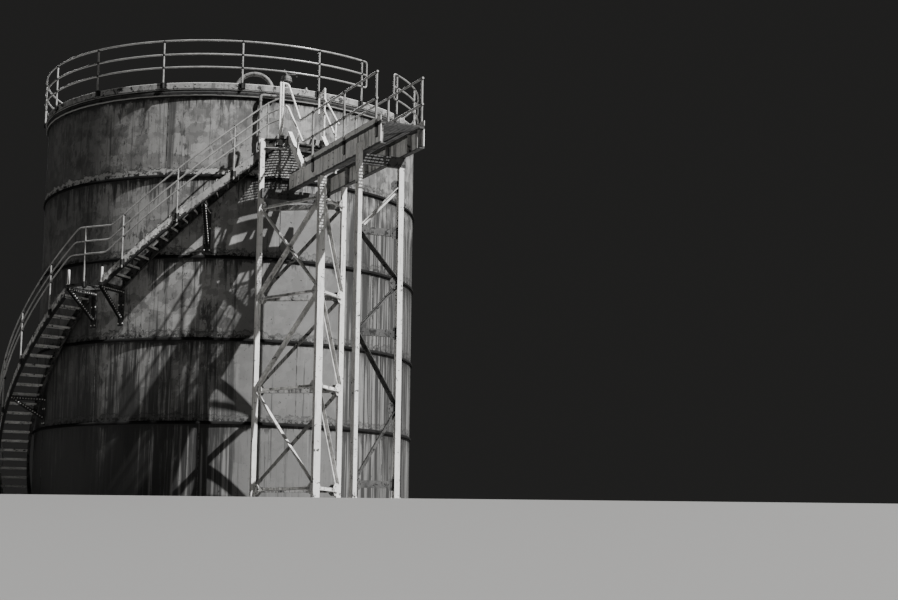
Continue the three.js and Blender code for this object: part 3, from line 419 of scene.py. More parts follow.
def streaks(graph: Graph, place: Any, fineness: Any, length: Any, cover: Any) -> dict[str, Any]:
    """Upright streaks: noise squeezed sideways and drawn out in height, cut at a threshold."""
    place = graph.vector("MULTIPLY", place, fineness, fineness, graph.math("DIVIDE", 1.0, length))
    edge = graph.less(0.68, graph.times(cover, 0.36))
    return {"Mask": graph.ramp(graph.noise(place, 1.0, 5, 0.66, 0.3), graph.less(edge, 0.05),
                               graph.plus(edge, 0.07))}


def flakes(graph: Graph, place: Any, size: Any, cover: Any) -> dict[str, Any]:
    """Flaked paint: ragged noise cut sharply, with a rim where the cut is near.

    Args:
        graph: The node group's graph.
        place: The socket with the place.
        size: Size of the flakes.
        cover: Share of the paint that is flaked.

    Returns:
        The masks of the bare flakes and of their rim.
    """
    noise = graph.noise(place, graph.math("DIVIDE", 1.0, size), 9, 0.72, 0.5)
    edge = graph.less(0.72, graph.times(cover, 0.42))
    mask = graph.ramp(noise, graph.less(edge, 0.006), graph.plus(edge, 0.012))
    near = graph.ramp(noise, graph.less(edge, 0.035), edge)
    return {"Mask": mask, "Rim": graph.less(near, mask, True)}


def clouds(graph: Graph, place: Any, size: Any) -> dict[str, Any]:
    """Faded paint: broad and small noise added, from about 0 to 1."""
    scale = graph.math("DIVIDE", 1.0, size)
    broad = graph.noise(place, scale, 4, 0.6, 0.6)
    small = graph.noise(place, graph.times(scale, 7.0), 5, 0.65)
    return {"Value": graph.ramp(graph.plus(graph.times(broad, 0.65), graph.times(small, 0.35)), 0.34, 0.66)}


def course_heights(graph: Graph, place: Any, spacing: Any) -> dict[str, Any]:
    """Height above the nearest seam below, and depth under the nearest seam above, in metres."""
    above = graph.math("MODULO", graph.add("SeparateXYZ", {0: place}).outputs[2], spacing)
    return {"Above": above, "Below": graph.less(spacing, above)}


def patches(graph: Graph, place: Any, size: Any) -> dict[str, Any]:
    """Squarish patches of later paint: cells by greatest distance, of which some light and some dark.

    Args:
        graph: The node group's graph.
        place: The socket with the place.
        size: Size of the patches.

    Returns:
        The masks of the light and of the dark patches.
    """
    scale = graph.math("DIVIDE", 1.0, size)
    wander = graph.times(graph.noise(place, graph.times(scale, 2.5), 5, 0.7), 0.16)
    cells = graph.add("TexVoronoi",
                      {"Vector": graph.vector("ADD", place, wander, wander, wander), "Scale": scale,
                                     "Randomness": 0.85}, distance="CHEBYCHEV").outputs["Color"]
    split = graph.add("SeparateColor", {0: cells}).outputs
    return {"Light": graph.ramp(split[0], 0.62, 0.66), "Dark": graph.ramp(split[1], 0.74, 0.78)}


def smudges(graph: Graph, place: Any, size: Any, cover: Any) -> dict[str, Any]:
    """Soft dark smudges, taller than wide, in loose clusters: a fine noise plus a broad one, cut softly.

    Args:
        graph: The node group's graph.
        place: The socket with the place.
        size: Width of the smudges.
        cover: Share of the paint that is smudged.

    Returns:
        The mask of the smudges.
    """
    wide = graph.math("DIVIDE", 1.0, size)
    place = graph.vector("MULTIPLY", place, wide, wide, graph.times(wide, 0.42))
    cluster = graph.noise(place, 0.22, 2, 0.5)
    both = graph.plus(graph.noise(place, 1.0, 7, 0.68, 0.25), graph.times(graph.less(cluster, 0.5), 0.7))
    edge = graph.less(0.7, graph.times(cover, 0.3))
    return {"Mask": graph.ramp(both, edge, graph.plus(edge, 0.1))}


def drips(graph: Graph, place: Any, depth: Any, fineness: Any, length: Any) -> dict[str, Any]:
    """Drips of uneven length that hang from an edge: their length by noise, less the depth under it."""
    place = graph.vector("MULTIPLY", place, fineness, fineness, 0.35)
    reach = graph.times(graph.ramp(graph.noise(place, 1.0, 5, 0.72), 0.44, 0.74), length)
    return {"Mask": graph.ramp(graph.less(reach, depth), 0.0, graph.times(length, 0.22))}


class Effect(Enum):
    """Wear and dirt that several finishes share, each one node group."""

    STREAKS = "upright_streaks"
    FLAKES = "paint_flakes"
    CLOUDS = "paint_clouds"
    COURSES = "course_heights"
    PATCHES = "repaint_patches"
    SMUDGES = "soft_smudges"
    DRIPS = "drips_under_an_edge"


MAKERS: dict[Effect, tuple[Callable[..., dict[str, Any]], dict[str, float]]] = {
    Effect.STREAKS: (streaks, {"Fineness": 8.0, "Length": 1.0, "Cover": 0.3}),
    Effect.FLAKES: (flakes, {"Size": 0.1, "Cover": 0.3}),
    Effect.CLOUDS: (clouds, {"Size": 1.0}),
    Effect.COURSES: (course_heights, {"Spacing": 1.5}),
    Effect.PATCHES: (patches, {"Size": 0.3}),
    Effect.SMUDGES: (smudges, {"Size": 0.16, "Cover": 0.4}),
    Effect.DRIPS: (drips, {"Depth": 0.0, "Fineness": 16.0, "Length": 0.9}),
}


def effect_group(effect: Effect) -> bpy.types.NodeTree:
    """The node group of an effect, made when it is first asked for.

    Args:
        effect: The effect.

    Returns:
        The group, with one input for each value of the effect and one output for each mask.
    """
    tree = bpy.data.node_groups.get(effect.value)
    if tree:
        return tree
    tree = bpy.data.node_groups.new(effect.value, "ShaderNodeTree")
    maker, inputs = MAKERS[effect]
    tree.interface.new_socket("Vector", in_out="INPUT", socket_type="NodeSocketVector")
    for name, value in inputs.items():
        tree.interface.new_socket(name, in_out="INPUT", socket_type="NodeSocketFloat").default_value = value
    graph = Graph(tree)
    given = graph.add("NodeGroupInput").outputs
    made = maker(graph, given["Vector"], *(given[name] for name in inputs))
    for name in made:
        tree.interface.new_socket(name, in_out="OUTPUT", socket_type="NodeSocketFloat")
    graph.add("NodeGroupOutput", made)
    return tree


@dataclass(frozen=True)
class Finish:
    """Weathered paint on steel.

    The colour is a clouded paint grey, then dark streaks and flakes down to rust. Each of the lines is a
    height, half a width and a grey: a line at that height, which on some finishes is wear or dirt and on
    others painted shade or a painted highlight. Where a piece has rust weights, edge_rust is how far the
    rust creeps in from its rusty edge.
    """

    name: str
    slot: str
    paint: float
    fade: float = 0.18
    cloud_size: float = 0.9
    streak_cover: float = 0.35
    streak_depth: float = 0.6
    streak_fineness: float = 9.0
    streak_length: float = 1.4
    flake_cover: float = 0.18
    flake_size: float = 0.12
    rust: float = 0.045
    rough: float = 0.62
    relief: float = 0.35
    shine: float = 0.4
    lines: tuple[tuple[float, float, float], ...] = ()
    edge_rust: float = 0.0

    def effect(self, graph: Graph, effect: Effect, place: Any, **values: Socket) -> Any:
        """Places a shared effect and returns its outputs."""
        return graph.add("Group", {"Vector": place, **values}, node_tree=effect_group(effect)).outputs

    def clouded(self, graph: Graph, place: Any) -> Any:
        """The paint's grey, clouded by fade to either side."""
        value = self.effect(graph, Effect.CLOUDS, place, Size=self.cloud_size)["Value"]
        return graph.mix(value, grey(self.paint * (1 - self.fade)), grey(self.paint * (1 + self.fade)))

    def colour(self, graph: Graph, place: Any) -> tuple[Any, Any]:
        """The paint's colour and the mask of bare metal.

        Args:
            graph: The material's graph.
            place: The socket with the object coordinates.

        Returns:
            The colour socket and the mask socket.
        """
        streaked = self.effect(graph, Effect.STREAKS, place, Fineness=self.streak_fineness,
                               Length=self.streak_length, Cover=self.streak_cover)["Mask"]
        colour = graph.lay(self.clouded(graph, place), streaked, self.streak_depth, self.rust * 1.6)
        flaked = self.effect(graph, Effect.FLAKES, place, Size=self.flake_size, Cover=self.flake_cover)
        colour = graph.lay(colour, flaked["Rim"], 0.5, min(self.paint * 1.5, 0.8))
        colour, bare = graph.mix(flaked["Mask"], colour, grey(self.rust)), flaked["Mask"]
        if self.edge_rust > 0:
            weight = graph.add("Attribute", attribute_name="rust").outputs["Fac"]
            ragged = graph.times(graph.less(graph.noise(place, 14.0, 7, 0.75), 0.5), 1.5)
            creep = graph.ramp(graph.plus(weight, ragged), 1.0 - self.edge_rust, 1.06 - self.edge_rust)
            colour, bare = graph.mix(creep, colour, grey(self.rust)), graph.math("MAXIMUM", bare, creep)
        return self.lined(graph, place, colour), bare

    def lined(self, graph: Graph, place: Any, colour: Any) -> Any:
        """Lays the lines over a colour, each a little uneven and broken.

        Args:
            graph: The material's graph.
            place: The socket with the object coordinates.
            colour: The colour socket under the lines.

        Returns:
            The colour socket with the lines.
        """
        up = graph.add("SeparateXYZ", {0: place}).outputs[2]
        for height, half, level in self.lines:
            uneven = graph.times(graph.less(graph.noise(place, 7.0, 5, 0.7), 0.5), half * 2.5)
            off = graph.math("ABSOLUTE", graph.plus(graph.less(up, height), uneven))
            colour = graph.lay(colour, graph.ramp(off, half * 1.2, half * 0.8), 0.92, level)
        return colour

    def material(self) -> bpy.types.Material:
        """The material of this finish, made when it is first asked for."""
        made = bpy.data.materials.get(self.name)
        if made:
            return made
        made = bpy.data.materials.new(self.name)
        made.use_nodes = True
        graph = Graph(made.node_tree)
        place = graph.add("TexCoord").outputs["Object"]
        colour, bare = self.colour(graph, place)
        grain = graph.noise(place, 160.0, 4, 0.7)
        wander = graph.times(graph.less(grain, 0.5), 0.3)
        rough = graph.plus(graph.plus(wander, self.rough), graph.times(bare, 0.22), True)
        pits = graph.less(graph.times(grain, 0.25), bare)
        normal = graph.add("Bump", {"Height": pits, "Strength": self.relief, "Distance": 0.004}).outputs[0]
        graph.finish("BsdfPrincipled", {"Base Color": colour, "Roughness": rough, "Normal": normal,
                                        "Specular IOR Level": self.shine})
        return made


@dataclass(frozen=True)
class ShellFinish(Finish):
    """The shell's paint: mottled, with drips from each seam and a strip over it, worn pale or dirty.

    Past the second x given for painted shade the plates are darkened as painted shade, and round the span
    given for painted light they are lightened as painted light where the key light grazes them. From that
    of calm they are plain and clean, and from that of striped they carry pale and dark stripes. Below the
    height given for dirt and shade they darken, for dirt and painted shade together, and just under each lap
    lies a dark band of painted shade with dirt. Smudges and dark streaks are rows of their effect's values,
    then how strongly they lie and their grey or reach.
    """

    spacing: float = 1.547
    strip: float = 0.15
    drip_length: float = 1.0
    # Below this height the plates darken downwards, for dirt and painted shade together.
    dirt_and_shade_height: float = 4.2
    # Painted shade: the plates darken towards the second of these x.
    painted_shade_span: tuple[float, float] = (-1.9, -2.4)
    # Painted light: between these x the plates are lightened where the key light grazes them.
    painted_light_span: tuple[float, float] = (-0.3, -1.6)
    calm: tuple[float, float] = (0.55, 0.75)
    striped: tuple[float, float] = (2.5, 2.7)
    smudged: tuple[tuple[float, ...], ...] = ((0.22, 0.44, 0.6, 0.3), (0.07, 0.34, 0.75, 0.14))
    streaked: tuple[tuple[float, ...], ...] = ((2.2, 5.0, 0.66, 0.8, 0.0), (9.0, 3.5, 0.62, 0.85, 0.28),
                                               (21.0, 1.6, 0.45, 0.8, 0.28))
    dripping: tuple[tuple[float, ...], ...] = ((4.0, 1.1, 0.7), (11.0, 0.9, 0.75), (28.0, 0.6, 0.9))

    def colour(self, graph: Graph, place: Any) -> tuple[Any, Any]:
        """The shell's colour and the mask of bare metal, from its place round the tank and in the course.

        Args:
            graph: The material's graph.
            place: The socket with the object coordinates.

        Returns:
            The colour socket and the mask socket.
        """
        times, plus, less, ramp, paint = graph.times, graph.plus, graph.less, graph.ramp, self.paint
        heights = self.effect(graph, Effect.COURSES, place, Spacing=self.spacing)
        colour = self.clouded(graph, place)
        x, _, z = graph.add("SeparateXYZ", {0: place}).outputs
        # Painted light: the plates are lightened towards the left, where the key light grazes them, but not
        # past where they turn into shade.
        colour = graph.lay(colour, times(ramp(x, *self.painted_light_span), ramp(x, -2.15, -1.85)), 0.5, paint * 2.1)
        for size, depth in ((0.34, 0.5), (0.13, 0.36)):
            patched = self.effect(graph, Effect.PATCHES, place, Size=size)
            colour = graph.lay(colour, patched["Light"], depth, paint * 1.75)
            colour = graph.lay(colour, patched["Dark"], depth, paint * 0.35)

        lowness, below_top = ramp(z, self.dirt_and_shade_height, 0.3), ramp(z, 6.1, 5.3)
        right = times(ramp(x, *self.striped), below_top)
        calm = less(times(ramp(x, *self.calm), below_top), right, True)
        busy = less(1.0, times(calm, 0.75))
        striped = times(graph.math("MAXIMUM", lowness, right), busy)
        for size, cover, depth, level in self.smudged:
            mask = self.effect(graph, Effect.SMUDGES, place, Size=size, Cover=cover)["Mask"]
            colour = graph.lay(colour, times(mask, busy), depth, paint * level)
        # Darker towards the bottom (dirt and painted shade together), painted shade past the left, then the
        # calm tone and the darker tone of the striped part.
        for mask, depth, level in ((lowness, 0.5, 0.35), (ramp(x, *self.painted_shade_span), 0.6, 0.2), (calm, 0.75, 0.62),
                                   (right, 0.75, 0.55)):
            colour = graph.lay(colour, mask, depth, paint * level)
        for fineness, length, cover, depth, anywhere in self.streaked:
            reach = times(plus(striped, times(busy, anywhere)), cover)
            mask = self.effect(graph, Effect.STREAKS, place, Fineness=fineness, Length=length,
                               Cover=reach)["Mask"]
            colour = graph.lay(colour, mask, depth, self.rust * 1.6)
        reach = times(striped, ramp(x, -1.7, -0.2), 0.42)
        runs = self.effect(graph, Effect.STREAKS, place, Fineness=15.0, Length=4.0, Cover=reach)["Mask"]
        colour = graph.lay(colour, runs, 0.5, paint * 1.7)
        short = less(1.0, times(ramp(z, 6.2, 6.4), 0.6))
        for fineness, share, depth in self.dripping:
            mask = self.effect(graph, Effect.DRIPS, place, Depth=heights["Below"], Fineness=fineness,
                               Length=times(short, busy, self.drip_length * share))["Mask"]
            colour = graph.lay(colour, mask, depth, self.rust)

        ragged = less(times(graph.noise(place, 5.0, 7, 0.78, 0.4), 0.42), 0.2)
        reach = plus(heights["Above"], ragged)
        strip = ramp(reach, self.strip, self.strip - 0.012)
        rim = less(ramp(reach, self.strip + 0.026, self.strip + 0.008), strip, True)
        worn = times(strip, times(ramp(z, 5.4, 6.0), ramp(x, 1.9, 1.5)))
        grimy = times(less(strip, worn, True), ramp(graph.noise(place, 22.0, 6, 0.75), 0.4, 0.58))
        # Painted shade with dirt: a dark band just under each lap and under the curb.
        lap_shade_and_dirt = ramp(plus(heights["Below"], ragged), 0.1, 0.05)
        for mask, depth, level in ((worn, 0.75, paint * 2.1), (grimy, 0.75, paint * 0.3),
                                   (rim, 0.8, self.rust), (lap_shade_and_dirt, 0.9, self.rust)):
            colour = graph.lay(colour, mask, depth, level)
        flaked = self.effect(graph, Effect.FLAKES, place, Size=self.flake_size,
                             Cover=self.flake_cover)["Mask"]
        chips = self.effect(graph, Effect.FLAKES, place, Size=0.09, Cover=0.5)["Mask"]
        bare = graph.math("MAXIMUM", flaked, times(chips, ramp(heights["Above"], 0.12, 0.07)))
        return graph.mix(bare, colour, grey(self.rust)), bare


SHELL = ShellFinish("shell_paint", "shell", 0.21, fade=0.34, cloud_size=1.3, flake_cover=0.2, flake_size=0.05,
                    rust=0.02, relief=0.4)
SEAM = Finish("seam_dirt", "seam", 0.012, fade=0.4, cloud_size=0.5, flake_cover=0.2, flake_size=0.2,
              rust=0.006, rough=0.9, shine=0.1)
JOINT = Finish("joint_dirt", "seam", 0.12, fade=0.6, cloud_size=0.3, flake_cover=0.5, flake_size=0.2,
               rust=0.03)
# Dark paint, darkened further as painted shade under the band. The pale line at 7.737 is a painted highlight
# along the knuckle's swell, with wear; the dark lines at 7.72 and 7.806 are painted shadow under the knuckle
# and under the band.
CURB = Finish("curb_paint_and_shade", "seam", 0.03, fade=0.6, cloud_size=0.7, streak_cover=0.2, flake_cover=0.4,
              flake_size=0.22, rust=0.012, rough=0.8, shine=0.15,
              lines=((7.737, 0.012, 0.34), (7.72, 0.006, 0.004), (7.806, 0.004, 0.1)))
ROOF = Finish("roof_paint", "roof", 0.34, fade=0.45, cloud_size=1.1, streak_cover=0.6, streak_depth=0.4,
              streak_fineness=1.3, flake_cover=0.34, flake_size=0.1, rust=0.06)
LAP = Finish("roof_lap_dirt", "roof", 0.12, fade=0.5, cloud_size=0.5, flake_cover=0.4, flake_size=0.1,
             rust=0.03)
# The pale line along the band's top edge is a painted highlight, and the dark line at its foot is painted
# shade.
BAND = Finish("edge_band_paint", "roof", 0.28, fade=0.34, cloud_size=0.3, streak_cover=0.35, streak_depth=0.6,
              flake_cover=0.4, flake_size=0.12, rust=0.03, lines=((7.86, 0.008, 0.02), (7.976, 0.004, 0.8)))
RAIL = Finish("rail_paint", "rail", 0.32, fade=0.3, cloud_size=0.3, streak_cover=0.1, flake_cover=0.22,
              flake_size=0.05, rust=0.03, rough=0.26, shine=0.85)
FITTING = Finish("fitting_rust", "rail", 0.02, fade=0.5, cloud_size=0.1, flake_cover=0.3, flake_size=0.03,
                 rust=0.012, rough=0.6, shine=0.2)
CLAMP = Finish("clamp_rust", "seam", 0.03, fade=0.5, cloud_size=0.15, flake_cover=0.4, flake_size=0.05,
               rust=0.015, shine=0.2)
STAIR = Finish("stair_paint", "stair", 0.5, fade=0.5, cloud_size=0.16, streak_cover=0.4, streak_depth=0.7,
               streak_fineness=14.0, streak_length=0.12, flake_cover=0.34, flake_size=0.14, rust=0.02,
               edge_rust=0.4)
STAIR_HEAD = Finish("stair_head_paint", "stair", 0.27, cloud_size=0.25, streak_cover=0.3, streak_length=0.3,
                    flake_cover=0.24, flake_size=0.1, rust=0.03, edge_rust=0.25)
NOSING = Finish("nosing_paint", "stair", 0.62, fade=0.3, cloud_size=0.2, streak_cover=0.1, flake_cover=0.34,
                flake_size=0.08, rust=0.03)
TREAD = Finish("tread_galvanizing", "stair", 0.07, fade=0.5, cloud_size=0.3, flake_cover=0.45,
               flake_size=0.08, rust=0.015, rough=0.75, shine=0.2)
PALE = Finish("leg_paint", "pale", 0.8, fade=0.12, cloud_size=0.5, streak_cover=0.2, streak_depth=0.5,
              streak_fineness=40.0, streak_length=0.5, flake_cover=0.26, flake_size=0.09, rust=0.03)
BRACE = Finish("brace_paint", "pale", 0.62, fade=0.35, cloud_size=0.35, streak_cover=0.3, flake_cover=0.24,
               flake_size=0.16, rust=0.03)
# The dark line along the top flange is painted shade, and the pale line along the bottom flange is a painted
# highlight.
BEAM = Finish("edge_beam_paint", "girder", 0.55, fade=0.4, cloud_size=0.2, streak_cover=0.3,
              streak_length=0.2,
              flake_cover=0.55, flake_size=0.12, rust=0.02, lines=((6.744, 0.009, 0.01), (6.579, 0.008, 0.5)))
WHITE = Finish("white_paint", "pale", 0.85, fade=0.08, cloud_size=0.2, streak_cover=0.16, streak_depth=0.5,
               flake_cover=0.3, flake_size=0.04, rust=0.03, rough=0.5)
GIRDER = Finish("girder_paint", "girder", 0.3, fade=0.4, cloud_size=0.3, streak_cover=0.4, streak_depth=0.8,
                streak_fineness=16.0, streak_length=0.5, flake_cover=0.36, flake_size=0.1, rust=0.02)
# Dark paint that also stands in as painted shade for the shaded webs of these channels.
TRUSS = Finish("truss_paint_and_shade", "girder", 0.07, fade=0.5, cloud_size=0.3, streak_cover=0.3, flake_cover=0.4,
               flake_size=0.1, rust=0.015)
# The dark lines over both flanges are part rust and part painted shade.
CHANNEL = Finish("channel_paint", "girder", 0.9, fade=0.14, cloud_size=0.3, streak_cover=0.34,
                 streak_depth=0.7,
                 streak_fineness=15.0, streak_length=0.9, flake_cover=0.12, flake_size=0.1, rust=0.03,
                 lines=((5.812, 0.026, 0.004), (6.145, 0.022, 0.004)))
# The dark line at the plate's foot is part rust and part painted shade.
TOE = Finish("toe_plate_paint", "stair", 0.88, fade=0.08, cloud_size=0.3, streak_cover=0.22, streak_depth=0.5,
             streak_fineness=15.0, streak_length=0.4, flake_cover=0.04, flake_size=0.12, rust=0.03,
             lines=((6.168, 0.024, 0.004), (6.278, 0.004, 0.05)))
DARK_STEEL = Finish("grating_steel", "girder", 0.04, fade=0.5, cloud_size=0.3, flake_cover=0.35,
                    flake_size=0.08, rust=0.015, shine=0.2)
PIPE = Finish("pipe_paint", "pipe", 0.2, fade=0.35, cloud_size=0.25, flake_cover=0.36, flake_size=0.07,
              rust=0.03)


def placed(name: str, data: bpy.types.ID) -> bpy.types.Object:
    """A new object in the scene with that data."""
    made = bpy.data.objects.new(name, data)
    bpy.context.scene.collection.objects.link(made)
    return made


def piece(name: str, surfaces: Iterable[Surface], finish: Finish, nodes: Sequence[str] = (),
          sharp: float = 35.0) -> bpy.types.Object:
    """Makes a finished piece of the tank.

    Args:
        name: The piece's name.
        surfaces: Its closed skins.
        finish: Its paint.
        nodes: The CAD nodes that it stands for.
        sharp: The angle in degrees above which an edge stays sharp.

    Returns:
        The object, riding on the tank.
    """
    surface = joined(surfaces)
    mesh = bpy.data.meshes.new(name)
    mesh.from_pydata(surface.points.tolist(), [], surface.quads.tolist() + surface.caps)
    mesh.polygons.foreach_set("use_smooth", [True] * len(mesh.polygons))
    mesh.set_sharp_from_angle(angle=math.radians(sharp))
    mesh.materials.append(finish.material())
    if surface.rust.any():
        weights = mesh.attributes.new("rust", "FLOAT", "POINT")
        weights.data.foreach_set("value", surface.rust.astype(np.float32))
    made = placed(name, mesh)
    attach(made, "root")
    if nodes:
        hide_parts(*nodes)
    LOG.info("%s: %d faces", name, len(mesh.polygons))
    return made


def repaint(nodes: Sequence[str], finish: Finish) -> None:
    """Gives CAD nodes that keep their shape a finish.

    Args:
        nodes: Their names.
        finish: Their paint.
    """
    for name in nodes:
        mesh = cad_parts[name].data
        mesh.materials.clear()
        mesh.materials.append(finish.material())
        LOG.info("%s: repainted", name)


# The tank

@dataclass
class Shell:
    """Five courses of rolled plate on a bottom plate, with a lap ring at each seam and a curb."""

    radius: float = 3.81
    plate: float = 0.008
    bottom: float = 0.01
    bottom_radius: float = 3.87
    seams: tuple[float, ...] = (1.547, 3.095, 4.641, 6.19)
    top: float = 7.842
    lap_height: float = 0.06
    lap_out: float = 0.034
    curb_height: float = 0.14
    curb_reach: float = 0.048
    curb_swell: float = 0.07
    joint_half: float = 0.007
    buckle: float = 0.0022
    plates_round: int = 6
    first_joint: float = 0.5
    joint_shift: float = 27.0
    rows: int = 13

    def course(self, low: float, high: float) -> Surface:
        """One course: a ring whose outer face stands back from the radius by a few slow waves.

        At bearing b and height z it stands back by buckle / 3 times
        1.5 + sin(5b + 2z) sin(3.1z) + sin(11b - 3z) / 2.

        Args:
            low: Height of its lower edge.
            high: Height of its upper edge.

        Returns:
            The closed ring.
        """
        rows = np.linspace(low, high, self.rows)
        heights = np.concatenate([rows, [high, low]])
        radii = np.concatenate([np.full(self.rows, self.radius), np.full(2, self.radius - self.plate)])
        bearings = full_circle()
        b, z = np.radians(bearings)[:, None], rows[None, :]
        waves = np.sin(5 * b + 2 * z) * np.sin(3.1 * z) + np.sin(11 * b - 3 * z) * 0.5
        across = np.broadcast_to(radii, (len(bearings), len(radii))).copy()
        across[:, :self.rows] -= self.buckle * (1.5 + waves) / 3
        return lattice(polar(bearings[:, None], across, heights[None, :]), ring=True)

    def lap(self, middle: float) -> Surface:
        """A seam's lap: square below, sloping back to the shell above."""
        low, high = middle - self.lap_height / 2, middle + self.lap_height / 2
        inner, outer = self.radius + 0.0003, self.radius + self.lap_out
        return bent([(inner, low), (outer - 0.004, low), (outer, low + 0.004), (outer, high - 0.03),
                     (outer - 0.006, high - 0.018), (inner + 0.004, high), (inner, high)])

    def joints(self, low: float, high: float, offset: float) -> Surfaces:
        """The upright butt joints of one course, as thin straps."""
        half = math.degrees(self.joint_half / self.radius)
        middles = np.arange(self.plates_round) * 360 / self.plates_round + offset
        return [bent(box(self.radius - 0.004, self.radius + 0.002, low, high),
                     np.array([m - half, m, m + half]))
                for m in middles]

    def curb(self) -> Surface:
        """The curb: a knuckle that swells out from the shell to the roof's rim."""
        t = np.linspace(0, np.pi / 2, 7)
        foot, low, outer = self.radius + 0.0003, self.top - self.curb_height, self.radius + self.curb_reach
        bulge = np.stack([foot + self.curb_reach * np.sin(t), low + self.curb_swell * (1 - np.cos(t))],
                         axis=-1)
        return bent([*bulge, (outer, self.top - 0.012), (outer - 0.006, self.top), (foot, self.top)])

    def chime(self) -> Surfaces:
        """The bottom plate: a ring that sticks out under the shell, its weld, and the floor in it."""
        inner, outer, weld = self.radius - 0.2, self.bottom_radius, self.bottom + 0.012
        edge = [(inner, 0.0), (outer - 0.003, 0.0), (outer, 0.003), (outer, self.bottom),
                (self.radius + 0.014, self.bottom), (self.radius + 0.001, weld), (self.radius + 0.0005, weld),
                (inner, self.bottom)]
        return [bent(edge), upright(np.zeros(3), inner, 0.0, self.bottom, ROUND_STEPS)]

    def build(self) -> None:
        """Makes the courses, joints, laps, curb and bottom plate."""
        levels = (self.bottom, *self.seams, self.top)
        straps = []
        for i, (low, high) in enumerate(zip(levels[:-1], levels[1:])):
            piece(f"shell_plates_{i + 1}", [self.course(low, high)], SHELL, [f"shell_course_{i + 1}"])
            straps += self.joints(low + 0.001, high - 0.001, self.joint_shift * i + self.first_joint)
        piece("upright_joints", straps, JOINT)
        for i, seam in enumerate(self.seams):
            piece(f"seam_lap_{i + 1}", [self.lap(seam)], SEAM, [f"seam_ring_{i + 1}"])
        piece("curb_knuckle", [self.curb()], CURB, ["curb_ring"])
        piece("chime_plate", self.chime(), SEAM, ["bottom_plate"])


@dataclass
class Roof:
    """A shallow cone of lapped plates with a pale band round its edge."""

    rim: float = 3.868
    flat: float = 3.795
    plate: float = 0.008
    slope: float = 0.12
    base: float = 7.842
    band_height: float = 0.13
    band_plate: float = 0.012
    laps: int = 16
    lap_size: tuple[float, float] = (0.008, 0.06)
    first_lap: float = 5.0
    patches: tuple[float, ...] = (-31.0, -12.5, -3.0, 38.0, 96.0, 151.0, -78.0, -128.0)
    patch_half: float = 0.07
    lugs: tuple[float, ...] = (28.0, 70.0, 205.0)

    @property
    def top(self) -> float:
        """Height of the roof plate at its rim."""
        return self.base + self.plate

    def height(self, radius: Any) -> Any:
        """Height of the roof's upper face at a radius."""
        return self.top + self.slope * (self.flat - np.minimum(radius, self.flat))

    def cone(self) -> Surface:
        """The roof plate, from the middle out over the rim and back underneath."""
        radii = np.array([0.03, 0.4, 1.0, 1.6, 2.2, 2.8, 3.3, self.flat, self.rim - 0.002])
        outer = np.stack([radii, self.height(radii)], axis=-1)
        under = outer[::-1] - [0, self.plate]
        return turned([*outer, (self.rim, self.top - 0.002), *under], np.zeros(3), UP, ROUND_STEPS)

    def lap(self, bearing: float) -> Surface:
        """One radial lap: a thin strap that follows the cone."""
        radii = np.array([0.25, self.flat - 0.02])
        return bar(*polar(bearing, radii, self.height(radii) + 0.001), *self.lap_size, UP, 0.002)

    def band(self) -> Surface:
        """The upright band on the rim, with eased top edges."""
        low, high = self.top, self.top + self.band_height
        inner, outer, ease = self.rim - self.band_plate, self.rim, 0.003
        return bent([(inner, low), (outer, low), (outer, high - ease), (outer - ease, high),
                     (inner + ease, high), (inner, high - ease)])

    def band_details(self) -> Surfaces:
        """Patch plates with their bolts, and small lifting lugs, on the band."""
        made = []
        middle, face = self.top + self.band_height / 2, self.rim + 0.006
        half = math.degrees(self.patch_half / self.rim)
        for bearing in self.patches:
            made.append(bent(box(self.rim - 0.002, face, middle - 0.05, middle + 0.05),
                             np.linspace(bearing - half, bearing + half, 4)))
            made += [bolt(polar(bearing + side * half * 0.7, face, middle + lift), polar(bearing, 1, 0),
                          0.009)
                     for side in SIDES for lift in (-0.03, 0.03)]
        foot = self.top + self.band_height - 0.01
        return made + [turned([(0.022, 0), (0.022, 0.03), (0.015, 0.045), (0.015, 0.06)],
                              polar(bearing, self.rim - 0.006, foot), UP, 10) for bearing in self.lugs]

    def build(self) -> None:
        """Makes the roof plate, its laps, the band and what is on it."""
        piece("roof_cone", [self.cone()], ROOF, ["roof_plate"])
        piece("roof_laps", [self.lap(b) for b in np.arange(self.laps) * 360 / self.laps + self.first_lap],
              LAP)
        piece("roof_band", [self.band(), *self.band_details()], BAND, ["roof_edge_band"])


